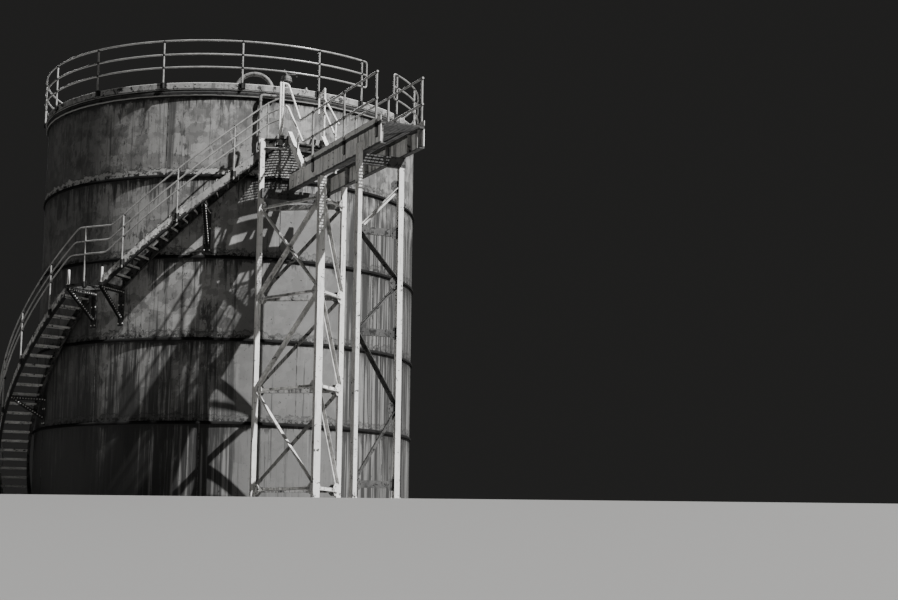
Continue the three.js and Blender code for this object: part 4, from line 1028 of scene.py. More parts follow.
@dataclass
class RoofFittings:
    """An arched pipe, a vent with a lever and a pipe down the outside of the shell."""

    roof: Roof
    arch_centre: tuple[float, float, float] = (0.774, -3.08, 8.035)
    arch_reach: float = 0.35
    arch_radius: float = 0.0425
    arch_flange: float = 0.092
    arch_collar: float = 0.052
    vent_bearing: float = 23.2
    vent_radius: float = 3.612
    drum: tuple[tuple[float, float], ...] = (
        (0.055, 8.16), (0.106, 8.165), (0.106, 8.179), (0.085, 8.18), (0.085, 8.183), (0.106, 8.184),
        (0.106, 8.195), (0.088, 8.198), (0.101, 8.206), (0.1025, 8.215), (0.1025, 8.258), (0.092, 8.268),
        (0.03, 8.272), (0.03, 8.288), (0.017, 8.292), (0.017, 8.325), (0.01, 8.33))
    stack: float = 0.055
    vent_flange: float = 0.095
    drum_bolts: tuple[float, float] = (0.094, 8.194)
    hub_height: float = 8.31
    lever: float = 0.19
    pipe_bearing: float = 14.6
    pipe_end: float = 19.0
    pipe_out: float = 3.895
    pipe_radius: float = 0.03
    collar: float = 0.036
    pipe_foot: float = 6.712
    pipe_bend: float = 7.77
    clips: tuple[float, ...] = (6.98, 7.48)
    clip_reach: tuple[float, float] = (3.80, 3.87)

    def flange(self, foot: np.ndarray, radius: float) -> Surfaces:
        """A bolted flange on the roof plate round a pipe."""
        made = [turned([(radius, -0.03), (radius, 0.014), (radius - 0.006, 0.02)], foot, UP, 24)]
        around = circle(6) * (radius - 0.018)
        return made + [bolt(foot + [x, y, 0.019], UP, 0.009) for x, y in around]

    def arch(self) -> Surfaces:
        """The arched pipe: half a circle on two upright ends, each with a flange."""
        centre = np.array(self.arch_centre)
        t = np.linspace(0, np.pi, 25)[:, None]
        top = centre + self.arch_reach * (np.sin(t) * UP - np.cos(t) * EAST)
        ends = [centre + side * self.arch_reach * EAST for side in SIDES]
        feet = [np.array([*end[:2], self.roof.height(np.hypot(*end[:2]))]) for end in ends]
        path = np.concatenate([[feet[0] - [0, 0, 0.02]], top, [feet[1] - [0, 0, 0.02]]])
        made = [tube(path, self.arch_radius, 20)]
        for foot, end in zip(feet, ends):
            made += [*self.flange(foot, self.arch_flange), upright(end, self.arch_collar, -0.012, 0.012)]
        return made

    def vent(self) -> Surfaces:
        """The vent: stack, bolted flange, dark drum, spindle, lever with a grip, and hook."""
        axis = polar(self.vent_bearing, self.vent_radius, 0.0)
        roof_here = float(self.roof.height(self.vent_radius))
        hub, grip = axis + UP * self.hub_height, axis + EAST * self.lever
        hook = rounded([hub, hub + [-0.06, 0, 0.085], hub + [-0.03, 0, 0.088]], 0.012)
        reach, level = self.drum_bolts
        return [*self.flange(axis + [0, 0, roof_here], self.vent_flange),
                turned([(self.stack, roof_here - 0.01), *self.drum], axis, UP, 28),
                *(bolt(axis + [x, y, level], UP, 0.008) for x, y in circle(8) * reach),
                tube(np.array([hub, hub + EAST * self.lever]), 0.012, 10),
                turned([(0.009, 8.26), (0.014, 8.268), (0.014, 8.352), (0.009, 8.36)], grip, UP, 12),
                tube(hook, 0.011, 10)]

    def downpipe(self) -> Surfaces:
        """The pipe down the shell: upright, with one bend, a collar at each end, and two clips."""
        level = polar(np.linspace(self.pipe_bearing + 1.4, self.pipe_end, 5), self.pipe_out, self.pipe_bend)
        corner, foot = (polar(self.pipe_bearing, self.pipe_out, z) for z in (self.pipe_bend, self.pipe_foot))
        path = np.concatenate([rounded([foot, corner, level[0]], 0.075, 8)[:-1], level])
        made = [tube(path, self.pipe_radius, 18), upright(foot, 0.037, 0, 0.05, 18),
                upright(corner - [0, 0, 0.1], self.collar, -0.02, 0.02, 18)]
        for height in self.clips:
            made += [spoke(self.pipe_bearing, self.clip_reach, height, 0.05, 0.05, UP, 0.004),
                     upright(np.array([*foot[:2], height]), self.collar, -0.02, 0.02, 18),
                     bolt(polar(self.pipe_bearing, self.pipe_out + 0.034, height),
                          polar(self.pipe_bearing, 1, 0), 0.008)]
        return made

    def build(self) -> None:
        """Makes the three fittings."""
        piece("arched_pipe", self.arch(), PIPE, ["swan_neck_pipe"])
        piece("lever_vent", self.vent(), PIPE, ["roof_vent"])
        piece("side_pipe", self.downpipe(), PIPE, ["vent_downpipe"])


@dataclass
class RoofRail:
    """Three tubes on posts round the roof's edge, open over one bay on the right."""

    radius: float = 3.893
    heights: tuple[float, ...] = (8.276, 8.529, 8.799)
    foot: float = 7.88
    tube_radius: float = 0.017
    first: float = 9.4
    pitch: float = 22.3
    ends: tuple[float, float] = (46.7, -296.0)
    overhang: float = 1.9
    per_length: int = 3
    band_radius: float = 3.868
    clamp_size: tuple[float, float] = (0.1, 0.13)
    clamp_plate: float = 0.01
    sleeve: float = 0.029
    bolt_reach: float = 0.047
    ball_radius: float = 0.029
    ball_top: float = 8.786

    def bearings(self) -> list[float]:
        """The posts' bearings, from the right-hand end round the front and back."""
        count = int((self.first + self.pitch - self.ends[1] - self.pitch / 2) // self.pitch) + 1
        return [self.ends[0], *(self.first + self.pitch * (1 - i) for i in range(count)), self.ends[1]]

    def clamp(self, bearing: float) -> Surfaces:
        """The clamp that holds a post's foot to the band: a plate, a sleeve and four bolts.

        Args:
            bearing: The post's bearing.

        Returns:
            The clamp's surfaces.
        """
        out, along = polar(bearing, 1, 0), polar(bearing + 90, 1, 0)
        face = self.band_radius + self.clamp_plate
        sleeve = [(self.sleeve, self.foot - 0.002), (self.sleeve, self.foot + 0.1),
                  (0.024, self.foot + 0.106)]
        made = [spoke(bearing, (self.band_radius, face), self.foot + 0.05, *self.clamp_size, UP, 0.004),
                turned(sleeve, polar(bearing, self.radius - 0.002, 0), UP, 16)]
        return made + [bolt(polar(bearing, face, self.foot + lift) + along * side * self.bolt_reach, out,
                            0.012)
                       for side in SIDES for lift in (0.02, 0.08)]

    def closing_loop(self, bearing: float, inside: float) -> Surface:
        """The tube that turns down from the top rail to the lowest at an open end."""
        low, _, top = self.heights
        corners = [polar(b, self.radius, h)
                   for b, h in ((inside, top), (bearing, top), (bearing, low), (inside, low))]
        return tube(rounded(corners, 0.055), self.tube_radius)

    def build(self) -> None:
        """Makes the rail's lengths, which meet half-way between posts, the clamps and the balls."""
        posts = self.bearings()
        for first in range(0, len(posts), self.per_length):
            group = posts[first:first + self.per_length]
            opens, closes = first == 0, first + self.per_length >= len(posts)
            start = group[0] if opens else (posts[first - 1] + group[0]) / 2
            end = group[-1] if closes else (group[-1] + posts[first + self.per_length]) / 2
            arc = np.linspace(start, end, int(abs(start - end) / 1.2) + 2)
            made = [tube(polar(arc, self.radius, h), self.tube_radius) for h in self.heights]
            made += [upright(polar(b, self.radius, 0), self.tube_radius, self.foot, self.heights[-1])
                     for b in group]
            for is_end, post, way in ((opens, group[0], 1), (closes, group[-1], -1)):
                if is_end:
                    edge = post + way * self.overhang
                    made += [self.closing_loop(edge, post),
                             tube(polar(np.array([post, edge]), self.radius, self.heights[1]), 0.018)]
            number = first // self.per_length + 1
            piece(f"roof_rail_length_{number}", made, RAIL, [f"roof_rail_{number}"])
        piece("roof_rail_clamps", [surface for bearing in posts for surface in self.clamp(bearing)], CLAMP)
        piece("roof_rail_balls", [ball(polar(bearing, self.radius, min(h, self.ball_top)), self.ball_radius)
                                  for bearing in posts for h in self.heights], FITTING)


@dataclass
class CurvedStair:
    """Two flights and a landing that climb round the shell on brackets."""

    inner: float = 3.876
    outer: float = 4.5
    plate: float = 0.012
    depth: float = 0.2
    below_nosing: float = 0.05
    landing_height: float = 4.1
    landing_depth: float = 0.06
    low_end: float = -35.0
    high_end: float = -23.2
    lower_risers: int = 24
    lower_pitch: float = 2.44
    upper_risers: int = 16
    upper_pitch: float = 2.7
    head_height: float = 6.82
    foot_part: float = 0.45
    flange: float = 0.05
    flange_plate: float = 0.008
    stubs: tuple[float, ...] = (-34.2, -23.9)
    brackets: tuple[tuple[float, float], ...] = ((-59.0, 0.42), (-34.0, 0.56), (-24.0, 0.56), (1.0, 0.68))
    wall: float = 3.811
    arm_start: float = 3.815
    arm_end: float = 4.495
    brace_end: float = 4.45
    angle_size: tuple[float, float] = (0.06, 0.008)
    pad_size: tuple[float, float] = (0.13, 0.02)
    bolt_pitch: float = 0.055

    @property
    def lower_rise(self) -> float:
        """Height of each riser of the lower flight."""
        return self.landing_height / self.lower_risers

    @property
    def upper_rise(self) -> float:
        """Height of each riser of the upper flight."""
        return (self.head_height - self.landing_height) / self.upper_risers

    @property
    def foot(self) -> float:
        """Bearing of the stringers' lower end."""
        return self.low_end - self.lower_pitch * (self.lower_risers - 1 + self.foot_part)

    @property
    def head(self) -> float:
        """Bearing of the stringers' upper end."""
        return self.high_end + self.upper_pitch * (self.upper_risers - 1)

    @property
    def tread_radii(self) -> tuple[float, float]:
        """Radii of a tread's two ends, just inside the stringers' webs."""
        return self.inner + self.plate - 0.004, self.outer - self.plate + 0.004

    def nosing(self, bearing: Any) -> Any:
        """Height of the line through the nosings at a bearing."""
        lower = self.landing_height + self.lower_rise / self.lower_pitch * (bearing - self.low_end)
        upper = (self.landing_height + self.upper_rise
                 + self.upper_rise / self.upper_pitch * (bearing - self.high_end))
        return np.where(np.asarray(bearing) < self.high_end, lower, upper)

    def stringer(self, radius: float, start: float, end: float) -> Surfaces:
        """A stringer plate and its two narrow flanges: boxes that follow the nosings and stop at the ground.

        Args:
            radius: The web's face away from the treads, from which it and the flanges turn towards them.
            start: Bearing of its lower end.
            end: Bearing of its upper end.

        Returns:
            The plate and the flanges, rustier towards their lower edges.
        """
        bearings = np.linspace(start, end, int((end - start) / 0.9))
        tops = self.nosing(bearings) - self.below_nosing
        turn = 1 if radius == self.inner else -1
        made = []
        for width, low, high in ((self.plate, -self.depth, 0.0), (self.flange, -self.flange_plate, 0.0),
                                 (self.flange, -self.depth, self.flange_plate - self.depth)):
            profile = box(radius, radius + turn * width, low, high)
            grid = polar(bearings[:, None], profile[None, :, 0], profile[None, :, 1] + tops[:, None])
            grid[..., 2] = np.maximum(grid[..., 2], profile[None, :, 1] * 0.001 + 0.001)
            plate = lattice(grid)
            plate.rust = np.tile(-profile[:, 1] / self.depth, len(bearings))
            made.append(plate)
        return made

    def grating(self, start: float, end: float, top: float, bars: int) -> Surfaces:
        """An open grating: radial bars, and rods across them."""
        r0, r1 = self.inner + self.plate, self.outer - self.plate
        made = [spoke(bearing, (r0, r1), top - 0.013, 0.018, 0.005)
                for bearing in np.linspace(start, end, bars)]
        return made + [tube(polar(np.linspace(start, end, max(2, bars // 4)), radius, top - 0.004), 0.0035, 4)
                       for radius in np.linspace(r0 + 0.05, r1 - 0.05, 6)]

    def tread(self, start: float, end: float, top: float) -> Surfaces:
        """A tread: grating between two end plates."""
        r0, r1 = self.tread_radii
        ends = np.array([start, end])
        return self.grating(start + 0.24, end - 0.24, top, 8) + [
            bar(*polar(ends, radius, top - 0.02), 0.04, 0.006) for radius in (r0 + 0.003, r1 - 0.003)]

    def edge_bars(self, start: float, end: float, top: float) -> Surfaces:
        """The upright bars along a tread's front and back edges, and the flat strip at its front."""
        made = [spoke(b, self.tread_radii, top - 0.02, 0.04, 0.008) for b in (start + 0.06, end - 0.06)]
        return made + [spoke(start + 0.25, self.tread_radii, top - 0.003, 0.006, 0.035)]

    def steps(self, lower: bool) -> Iterable[tuple[float, float, float]]:
        """Start and end bearing and height of each tread of one flight, from the landing."""
        for i in range(1, self.lower_risers if lower else self.upper_risers):
            start = (self.low_end - self.lower_pitch * i if lower
                     else self.high_end + self.upper_pitch * (i - 1))
            climb = -self.lower_rise if lower else self.upper_rise
            pitch = self.lower_pitch if lower else self.upper_pitch
            yield start, start + pitch, self.landing_height + climb * i

    def landing(self) -> Surfaces:
        """The landing's grating and frame."""
        top, low = self.landing_height, self.landing_height - self.landing_depth
        made = self.grating(self.low_end + 0.3, self.high_end - 0.3, top, 22)
        made += [bent(box(r0, r1, low, top), np.linspace(self.low_end, self.high_end, 14))
                 for r0, r1 in ((self.outer - 0.012, self.outer), (self.inner - 0.014, self.inner))]
        return made + [spoke(bearing, (self.inner, self.outer - 0.01), (top + low) / 2 - 0.002, 0.052, 0.012)
                       for bearing in (self.low_end + 0.09, (self.low_end + self.high_end) / 2,
                                       self.high_end - 0.09)]

    def stub_posts(self) -> Surfaces:
        """The short pale posts at the landing's corners."""
        bases = [polar(bearing, self.outer - 0.03, self.landing_height) for bearing in self.stubs]
        return [surface for base in bases for surface in (
            turned([(0.025, -0.06), (0.025, 0.276), (0.02, 0.28)], base, UP, 16),
            upright(base, 0.04, -0.001, 0.008, 16))]

    def bracket(self, bearing: float, drop: float) -> tuple[Surfaces, Surfaces]:
        """A triangular bracket: arm, brace and wall pad, and a row of bolts down each side.

        Args:
            bearing: Where it stands round the tank.
            drop: How far its foot is under its arm.

        Returns:
            The bracket's bars and its bolts.
        """
        on_landing = self.low_end < bearing < self.high_end
        edge = bearing - math.degrees(0.03 / self.inner)
        top = (self.landing_height - self.landing_depth if on_landing
               else float(self.nosing(edge)) - self.below_nosing - self.depth) - 0.0005
        tangent = polar(bearing + 90, 1, 0)
        made: Surfaces = []
        bolts: Surfaces = []
        for far, low, high in ((self.arm_end, top - 0.03, top - 0.03),
                               (self.brace_end, top - drop + 0.02, top - 0.04)):
            start, end = polar(bearing, self.arm_start, low), polar(bearing, far, high)
            along = unit(end - start)
            square = unit(np.cross(along, tangent))
            for shift, facing in ((-tangent, square), (tangent, square), (square, tangent)):
                made.append(bar(start + shift * 0.026, end + shift * 0.026, *self.angle_size, facing))
            bolts += [bolt(start + along * run + tangent * side * 0.03, tangent * side, 0.012)
                      for run in np.arange(0.05, float(np.linalg.norm(end - start)), self.bolt_pitch)
                      for side in SIDES]
        made.append(bar(*polar(bearing, self.wall, np.array([top - drop - 0.12, top])), *self.pad_size,
                        tangent, 0.003))
        bolts += [bolt(polar(bearing, 3.82, top - lift) + tangent * side * 0.048, polar(bearing, 1, 0), 0.014)
                  for lift in (0.04, drop * 0.5, drop + 0.07) for side in SIDES]
        return made, bolts

    def build(self) -> None:
        """Makes the flights, the landing and the brackets."""
        middle = (self.high_end + self.head) / 2
        spans = (("lower", self.foot, self.low_end - 0.005, STAIR, ["stair_flight_lower"]),
                 ("upper", self.high_end + 0.005, middle, STAIR, ["stair_flight_upper"]),
                 ("head", middle, self.head, STAIR_HEAD, []))
        for name, start, end, finish, nodes in spans:
            piece(f"stair_stringer_{name}", self.stringer(self.outer, start, end), finish, nodes)
            piece(f"stair_wall_stringer_{name}", self.stringer(self.inner, start, end), TREAD)
        for name in ("lower", "upper"):
            steps = list(self.steps(name == "lower"))
            piece(f"stair_treads_{name}", [surface for step in steps for surface in self.tread(*step)], TREAD)
            piece(f"stair_tread_edges_{name}",
                  [surface for step in steps for surface in self.edge_bars(*step)],
                  NOSING)
        piece("landing_grating", self.landing(), TREAD, ["stair_landing"])
        piece("landing_stub_posts", self.stub_posts(), PALE)
        bolts: Surfaces = []
        for i, place in enumerate(self.brackets):
            made, extra = self.bracket(*place)
            bolts += extra
            piece(f"stair_bracket_frame_{i + 1}", made, DARK_STEEL, [f"stair_bracket_{i + 1}"])
        piece("stair_bracket_bolts", bolts, PALE)


@dataclass
class StairRails:
    """Three tubes on posts along the stair's outer side, from its foot to the twin post at its head.

    Each level is a tube's height over the landing and the bearings of the two kinks beside it. Each drop
    is how far a tube is under the top one on the flights.
    """

    stair: CurvedStair
    radius: float = 4.528
    tube_radius: float = 0.0155
    levels: tuple[tuple[float, float, float], ...] = (
        (5.14, -30.7, -21.0), (4.875, -31.8, -21.6), (4.635, -33.2, -22.6))
    drops: tuple[float, ...] = (0.0, 0.2, 0.4)
    lower_over: float = 0.93
    upper_over: float = 0.75
    lower_posts: tuple[float, ...] = (-88.68, -76.48, -64.28, -52.08, -39.88)
    landing_post: float = -28.55
    upper_posts: tuple[float, ...] = (-18.2, -5.1, 7.75, 15.4)
    twin_post: tuple[float, float] = (1.427, -4.395)
    end_rise: float = 0.09
    end_foot: float = 6.75
    cleat_faces: tuple[float, float] = (4.501, 4.512)
    cleat_size: tuple[float, float] = (0.13, 0.09)
    sleeve: float = 0.026
    ball_radius: float = 0.03
    balls: Surfaces = field(default_factory=list)

    def height(self, index: int, bearing: Any) -> Any:
        """Height of a tube's middle: straight runs between the foot, the landing's ends and the head.

        Args:
            index: Which tube, from the top.
            bearing: One bearing or many.

        Returns:
            The height at each bearing.
        """
        level, low, high = self.levels[index]
        foot, head = self.lower_posts[0], self.upper_posts[-1]
        foot_height = float(self.stair.nosing(foot)) + self.lower_over - self.drops[index]
        head_height = float(self.stair.nosing(head)) + self.upper_over - self.drops[index]
        return np.interp(bearing, [foot, low, high, head], [foot_height, level, level, head_height])

    def run(self, index: int) -> Surface:
        """One tube from the stair's foot to its head, its kinks eased over a degree and a half.

        Args:
            index: Which tube, from the top.

        Returns:
            The tube.
        """
        bearings = np.arange(self.lower_posts[0], self.upper_posts[-1] + 0.001, 0.36)
        heights = np.mean([self.height(index, bearings + shift) for shift in np.linspace(-0.8, 0.8, 9)],
                          axis=0)
        heights[0], heights[-1] = self.height(index, bearings[[0, -1]])
        path = polar(bearings, self.radius, heights)
        end = np.array([*self.twin_post, heights[-1] + self.end_rise])
        return tube(np.concatenate([path, [path[-1] + (end - path[-1]) * 0.5, end]]), self.tube_radius)

    def post(self, bearing: float, foot: float) -> Surface:
        """A post, whose balls are kept for their own piece."""
        heights = [float(self.height(i, bearing)) for i in range(len(self.levels))]
        self.balls += [ball(polar(bearing, self.radius - 0.014, h), self.ball_radius) for h in heights]
        return upright(polar(bearing, self.radius, 0), self.tube_radius, foot, max(heights), 12)

    def cleat(self, bearing: float, height: float) -> Surfaces:
        """The cleat between a post's foot and the stringer: a plate, a sleeve and four bolts.

        Args:
            bearing: The post's bearing.
            height: Height of its middle.

        Returns:
            The cleat's surfaces.
        """
        out, along = polar(bearing, 1, 0), polar(bearing + 90, 1, 0)
        made = [spoke(bearing, self.cleat_faces, height, *self.cleat_size, UP, 0.003),
                upright(polar(bearing, self.radius - 0.009, height), self.sleeve, -0.05, 0.05, 14)]
        return made + [bolt(polar(bearing, 4.511, height + lift) + along * side * 0.033, out, 0.01)
                       for side in SIDES for lift in (-0.045, 0.045)]

    def build(self) -> None:
        """Makes the tubes, posts and cleats."""
        made = [self.run(i) for i in range(len(self.levels))]
        cleats: Surfaces = []
        for bearing in (*self.lower_posts, *self.upper_posts[:-1]):
            middle = float(self.stair.nosing(bearing)) - self.stair.below_nosing - self.stair.depth / 2
            made.append(self.post(bearing, max(middle - 0.1, 0.0)))
            cleats += self.cleat(bearing, max(middle, 0.07))
        made.append(self.post(self.landing_post, self.stair.landing_height - 0.06))
        cleats += self.cleat(self.landing_post, self.stair.landing_height - 0.03)
        made.append(self.post(self.upper_posts[-1], self.end_foot))
        piece("stair_rail_tubes", made, RAIL, ["stair_rail_lower", "stair_rail_landing", "stair_rail_upper"])
        piece("stair_rail_cleats", cleats, CLAMP)
        piece("stair_rail_balls", self.balls, FITTING)


# The gangway

@dataclass
class Line:
    """The gangway's own directions: s outwards along it, w across it from its near channel."""

    origin: tuple[float, float] = (1.61, -4.21)
    bearing: float = 64.0

    @property
    def start(self) -> np.ndarray:
        """Where s, w and height are zero."""
        return np.array([*self.origin, 0.0])

    @property
    def out(self) -> np.ndarray:
        """Direction of s."""
        angle = math.radians(self.bearing)
        return np.array([math.cos(angle), -math.sin(angle), 0.0])

    @property
    def across(self) -> np.ndarray:
        """Direction of w."""
        return np.array([-self.out[1], self.out[0], 0.0])

    def at(self, s: Any, w: Any, z: Any) -> np.ndarray:
        """Points at distances s and w and height z."""
        s, w, z = (np.asarray(v, float)[..., None] for v in np.broadcast_arrays(s, w, z))
        return self.start + s * self.out + w * self.across + z * UP

    def slab(self, outline: np.ndarray, low: float, high: float) -> Surface:
        """An upright plate: its outline in s and height, between two places across."""
        return lattice(np.array([self.at(outline[:, 0], w, outline[:, 1]) for w in (low, high)]))


@dataclass
class Gangway:
    """Two channels that carry an open grating, with toe plates and rails."""

    line: Line
    width: float = 0.79
    length: float = 4.2
    deck_start: float = 0.76
    bar_pitch: float = 0.04
    rod_pitch: float = 0.07
    near_toes: tuple[tuple[float, float], ...] = ((0.72, 1.12), (1.2, 4.2))
    top: float = 6.15
    toe: float = 0.13
    toe_plate: float = 0.008
    toe_corner: float = 0.03
    tube_radius: float = 0.0195
    rail_out: float = 0.0185
    rail_heights: tuple[float, float] = (6.59, 7.04)
    rail_starts: tuple[tuple[float, float], ...] = ((0.717, 0.56), (0.98, 0.98))
    rail_end: float = 4.08
    posts: tuple[float, ...] = (1.2, 2.66, 4.04)
    post_foot: float = 5.95
    post_plate: tuple[float, float] = (5.93, 6.19)
    sleeve: float = 0.026
    sleeve_foot: float = 6.1
    ball_radius: float = 0.029
    channel_inside: tuple[float, float] = (5.816, 6.134)
    stiffeners: tuple[float, ...] = (0.12, 1.0, 1.9, 2.8, 3.7, 4.1)
    bolt_rows: tuple[float, ...] = (0.2, 0.5, 1.95, 2.15)
    bolt_heights: tuple[float, ...] = (5.87, 5.98, 6.08)

    def deck(self) -> Surfaces:
        """The grating: bars from channel to channel, tied by rods along the gangway."""
        line, s0, s1, top = self.line, self.deck_start, self.length, self.top
        made = [bar(*line.at(s, [0.01, self.width - 0.01], top + 0.0105), 0.02, 0.007)
                for s in np.arange(s0 + 0.03, s1 - 0.02, self.bar_pitch)]
        made += [tube(line.at([s0, s1], w, top + 0.022), 0.006, 4)
                 for w in np.arange(0.05, self.width - 0.01, self.rod_pitch)]
        return made + [bar(*line.at(s, [0.008, self.width - 0.008], top + 0.014), 0.028, 0.006)
                       for s in (s0 + 0.004, s1 - 0.004)]

    def toe_plate_run(self, start: float, end: float, w: float) -> Surface:
        """One toe plate, its lower corners rounded off by quarter circles.

        Args:
            start: Where it starts along the gangway.
            end: Where it ends.
            w: Its middle across the gangway.

        Returns:
            The plate.
        """
        low, high, r, half = self.top + 0.0005, self.top + self.toe, self.toe_corner, self.toe_plate / 2
        t = np.linspace(0, np.pi / 2, 5)
        outline = np.concatenate([
            [(start, high), (end, high)],
            np.stack([end - r + r * np.cos(t), low + r - r * np.sin(t)], axis=-1),
            np.stack([start + r - r * np.sin(t), low + r - r * np.cos(t)], axis=-1),
        ])
        return self.line.slab(outline, w - half, w + half)

    def toe_plates(self) -> Surfaces:
        """The upright plates along both sides of the deck."""
        near, far = self.toe_plate / 2, self.width - self.toe_plate / 2
        return [*(self.toe_plate_run(start, end, near) for start, end in self.near_toes),
                self.toe_plate_run(self.deck_start, self.length, far)]

    def rails(self, side: int) -> tuple[Surfaces, Surfaces]:
        """The tubes and posts of one side, and the plates that bolt the posts to the channel.

        Args:
            side: -1 for the near side, 1 for the far side.

        Returns:
            The rail's surfaces and the plates' surfaces.
        """
        line, edge = self.line, 0.0 if side < 0 else self.width
        w = edge + side * self.rail_out
        made = [tube(line.at([start, self.rail_end], w, h), self.tube_radius)
                for start, h in zip(self.rail_starts[max(side, 0)], self.rail_heights)]
        plates: Surfaces = []
        for s in self.posts:
            made.append(upright(line.at(s, w, 0.0), self.tube_radius, self.post_foot, self.rail_heights[1]))
            plates += [ball(line.at(s, w, h), self.ball_radius) for h in self.rail_heights]
            plates += [bar(*line.at(s, edge + side * 0.001, self.post_plate), 0.09, 0.006, line.out, 0.002),
                       upright(line.at(s, w, self.sleeve_foot), self.sleeve, 0, 0.07)]
            plates += [bolt(line.at(s + shift, edge + side * 0.004, lift), line.across * side, 0.01)
                       for shift in (-0.034, 0.034) for lift in (5.955, 6.04)]
        return made, plates

    def girder_details(self) -> Surfaces:
        """Stiffener plates inside the channels and end plates with bolts."""
        line = self.line
        made = [bar(*line.at(s, w, self.channel_inside), 0.008, 0.07, line.out)
                for s in self.stiffeners for w in (0.05, self.width - 0.05)]
        return made + [bolt(line.at(s, -0.0005, height), -line.across, 0.011)
                       for s in self.bolt_rows for height in self.bolt_heights]

    def build(self) -> None:
        """Makes the deck, rails and details, and repaints the channels and cross-beams."""
        repaint(["gangway_channel_near", "gangway_channel_far"], CHANNEL)
        repaint(["cross_beam_inner", "cross_beam_outer"], TRUSS)
        piece("deck_grating", self.deck(), DARK_STEEL, ["gangway_deck"])
        piece("toe_plates", self.toe_plates(), TOE)
        piece("girder_stiffeners", self.girder_details(), GIRDER)
        plates: Surfaces = []
        for name, side in (("near", -1), ("far", 1)):
            made, extra = self.rails(side)
            plates += extra
            piece(f"gangway_rail_tubes_{name}", made, RAIL, [f"gangway_rail_{name}"])
        piece("gangway_post_plates", plates, CLAMP)


@dataclass(frozen=True)
class Leg:
    """A leg: its middle on the ground, the height of its top, and its size across and along the gangway."""

    place: np.ndarray
    top: float
    size: tuple[float, float]


@dataclass(frozen=True)
class Side:
    """One braced side between two legs.

    Each diagonal is its height at the first leg and at the second, and the pale ones are painted apart.
    """

    legs: str
    node: str
    levels: tuple[float, ...]
    diagonals: tuple[tuple[float, float], ...]
    finish: Finish
    beam: float = 0.065
    pale: tuple[tuple[float, float], ...] = ()


TOWER_LEVELS = (5.44, 3.76, 2.08, 0.3)
ZIGZAG = tuple(zip(TOWER_LEVELS[:-1], TOWER_LEVELS[1:]))


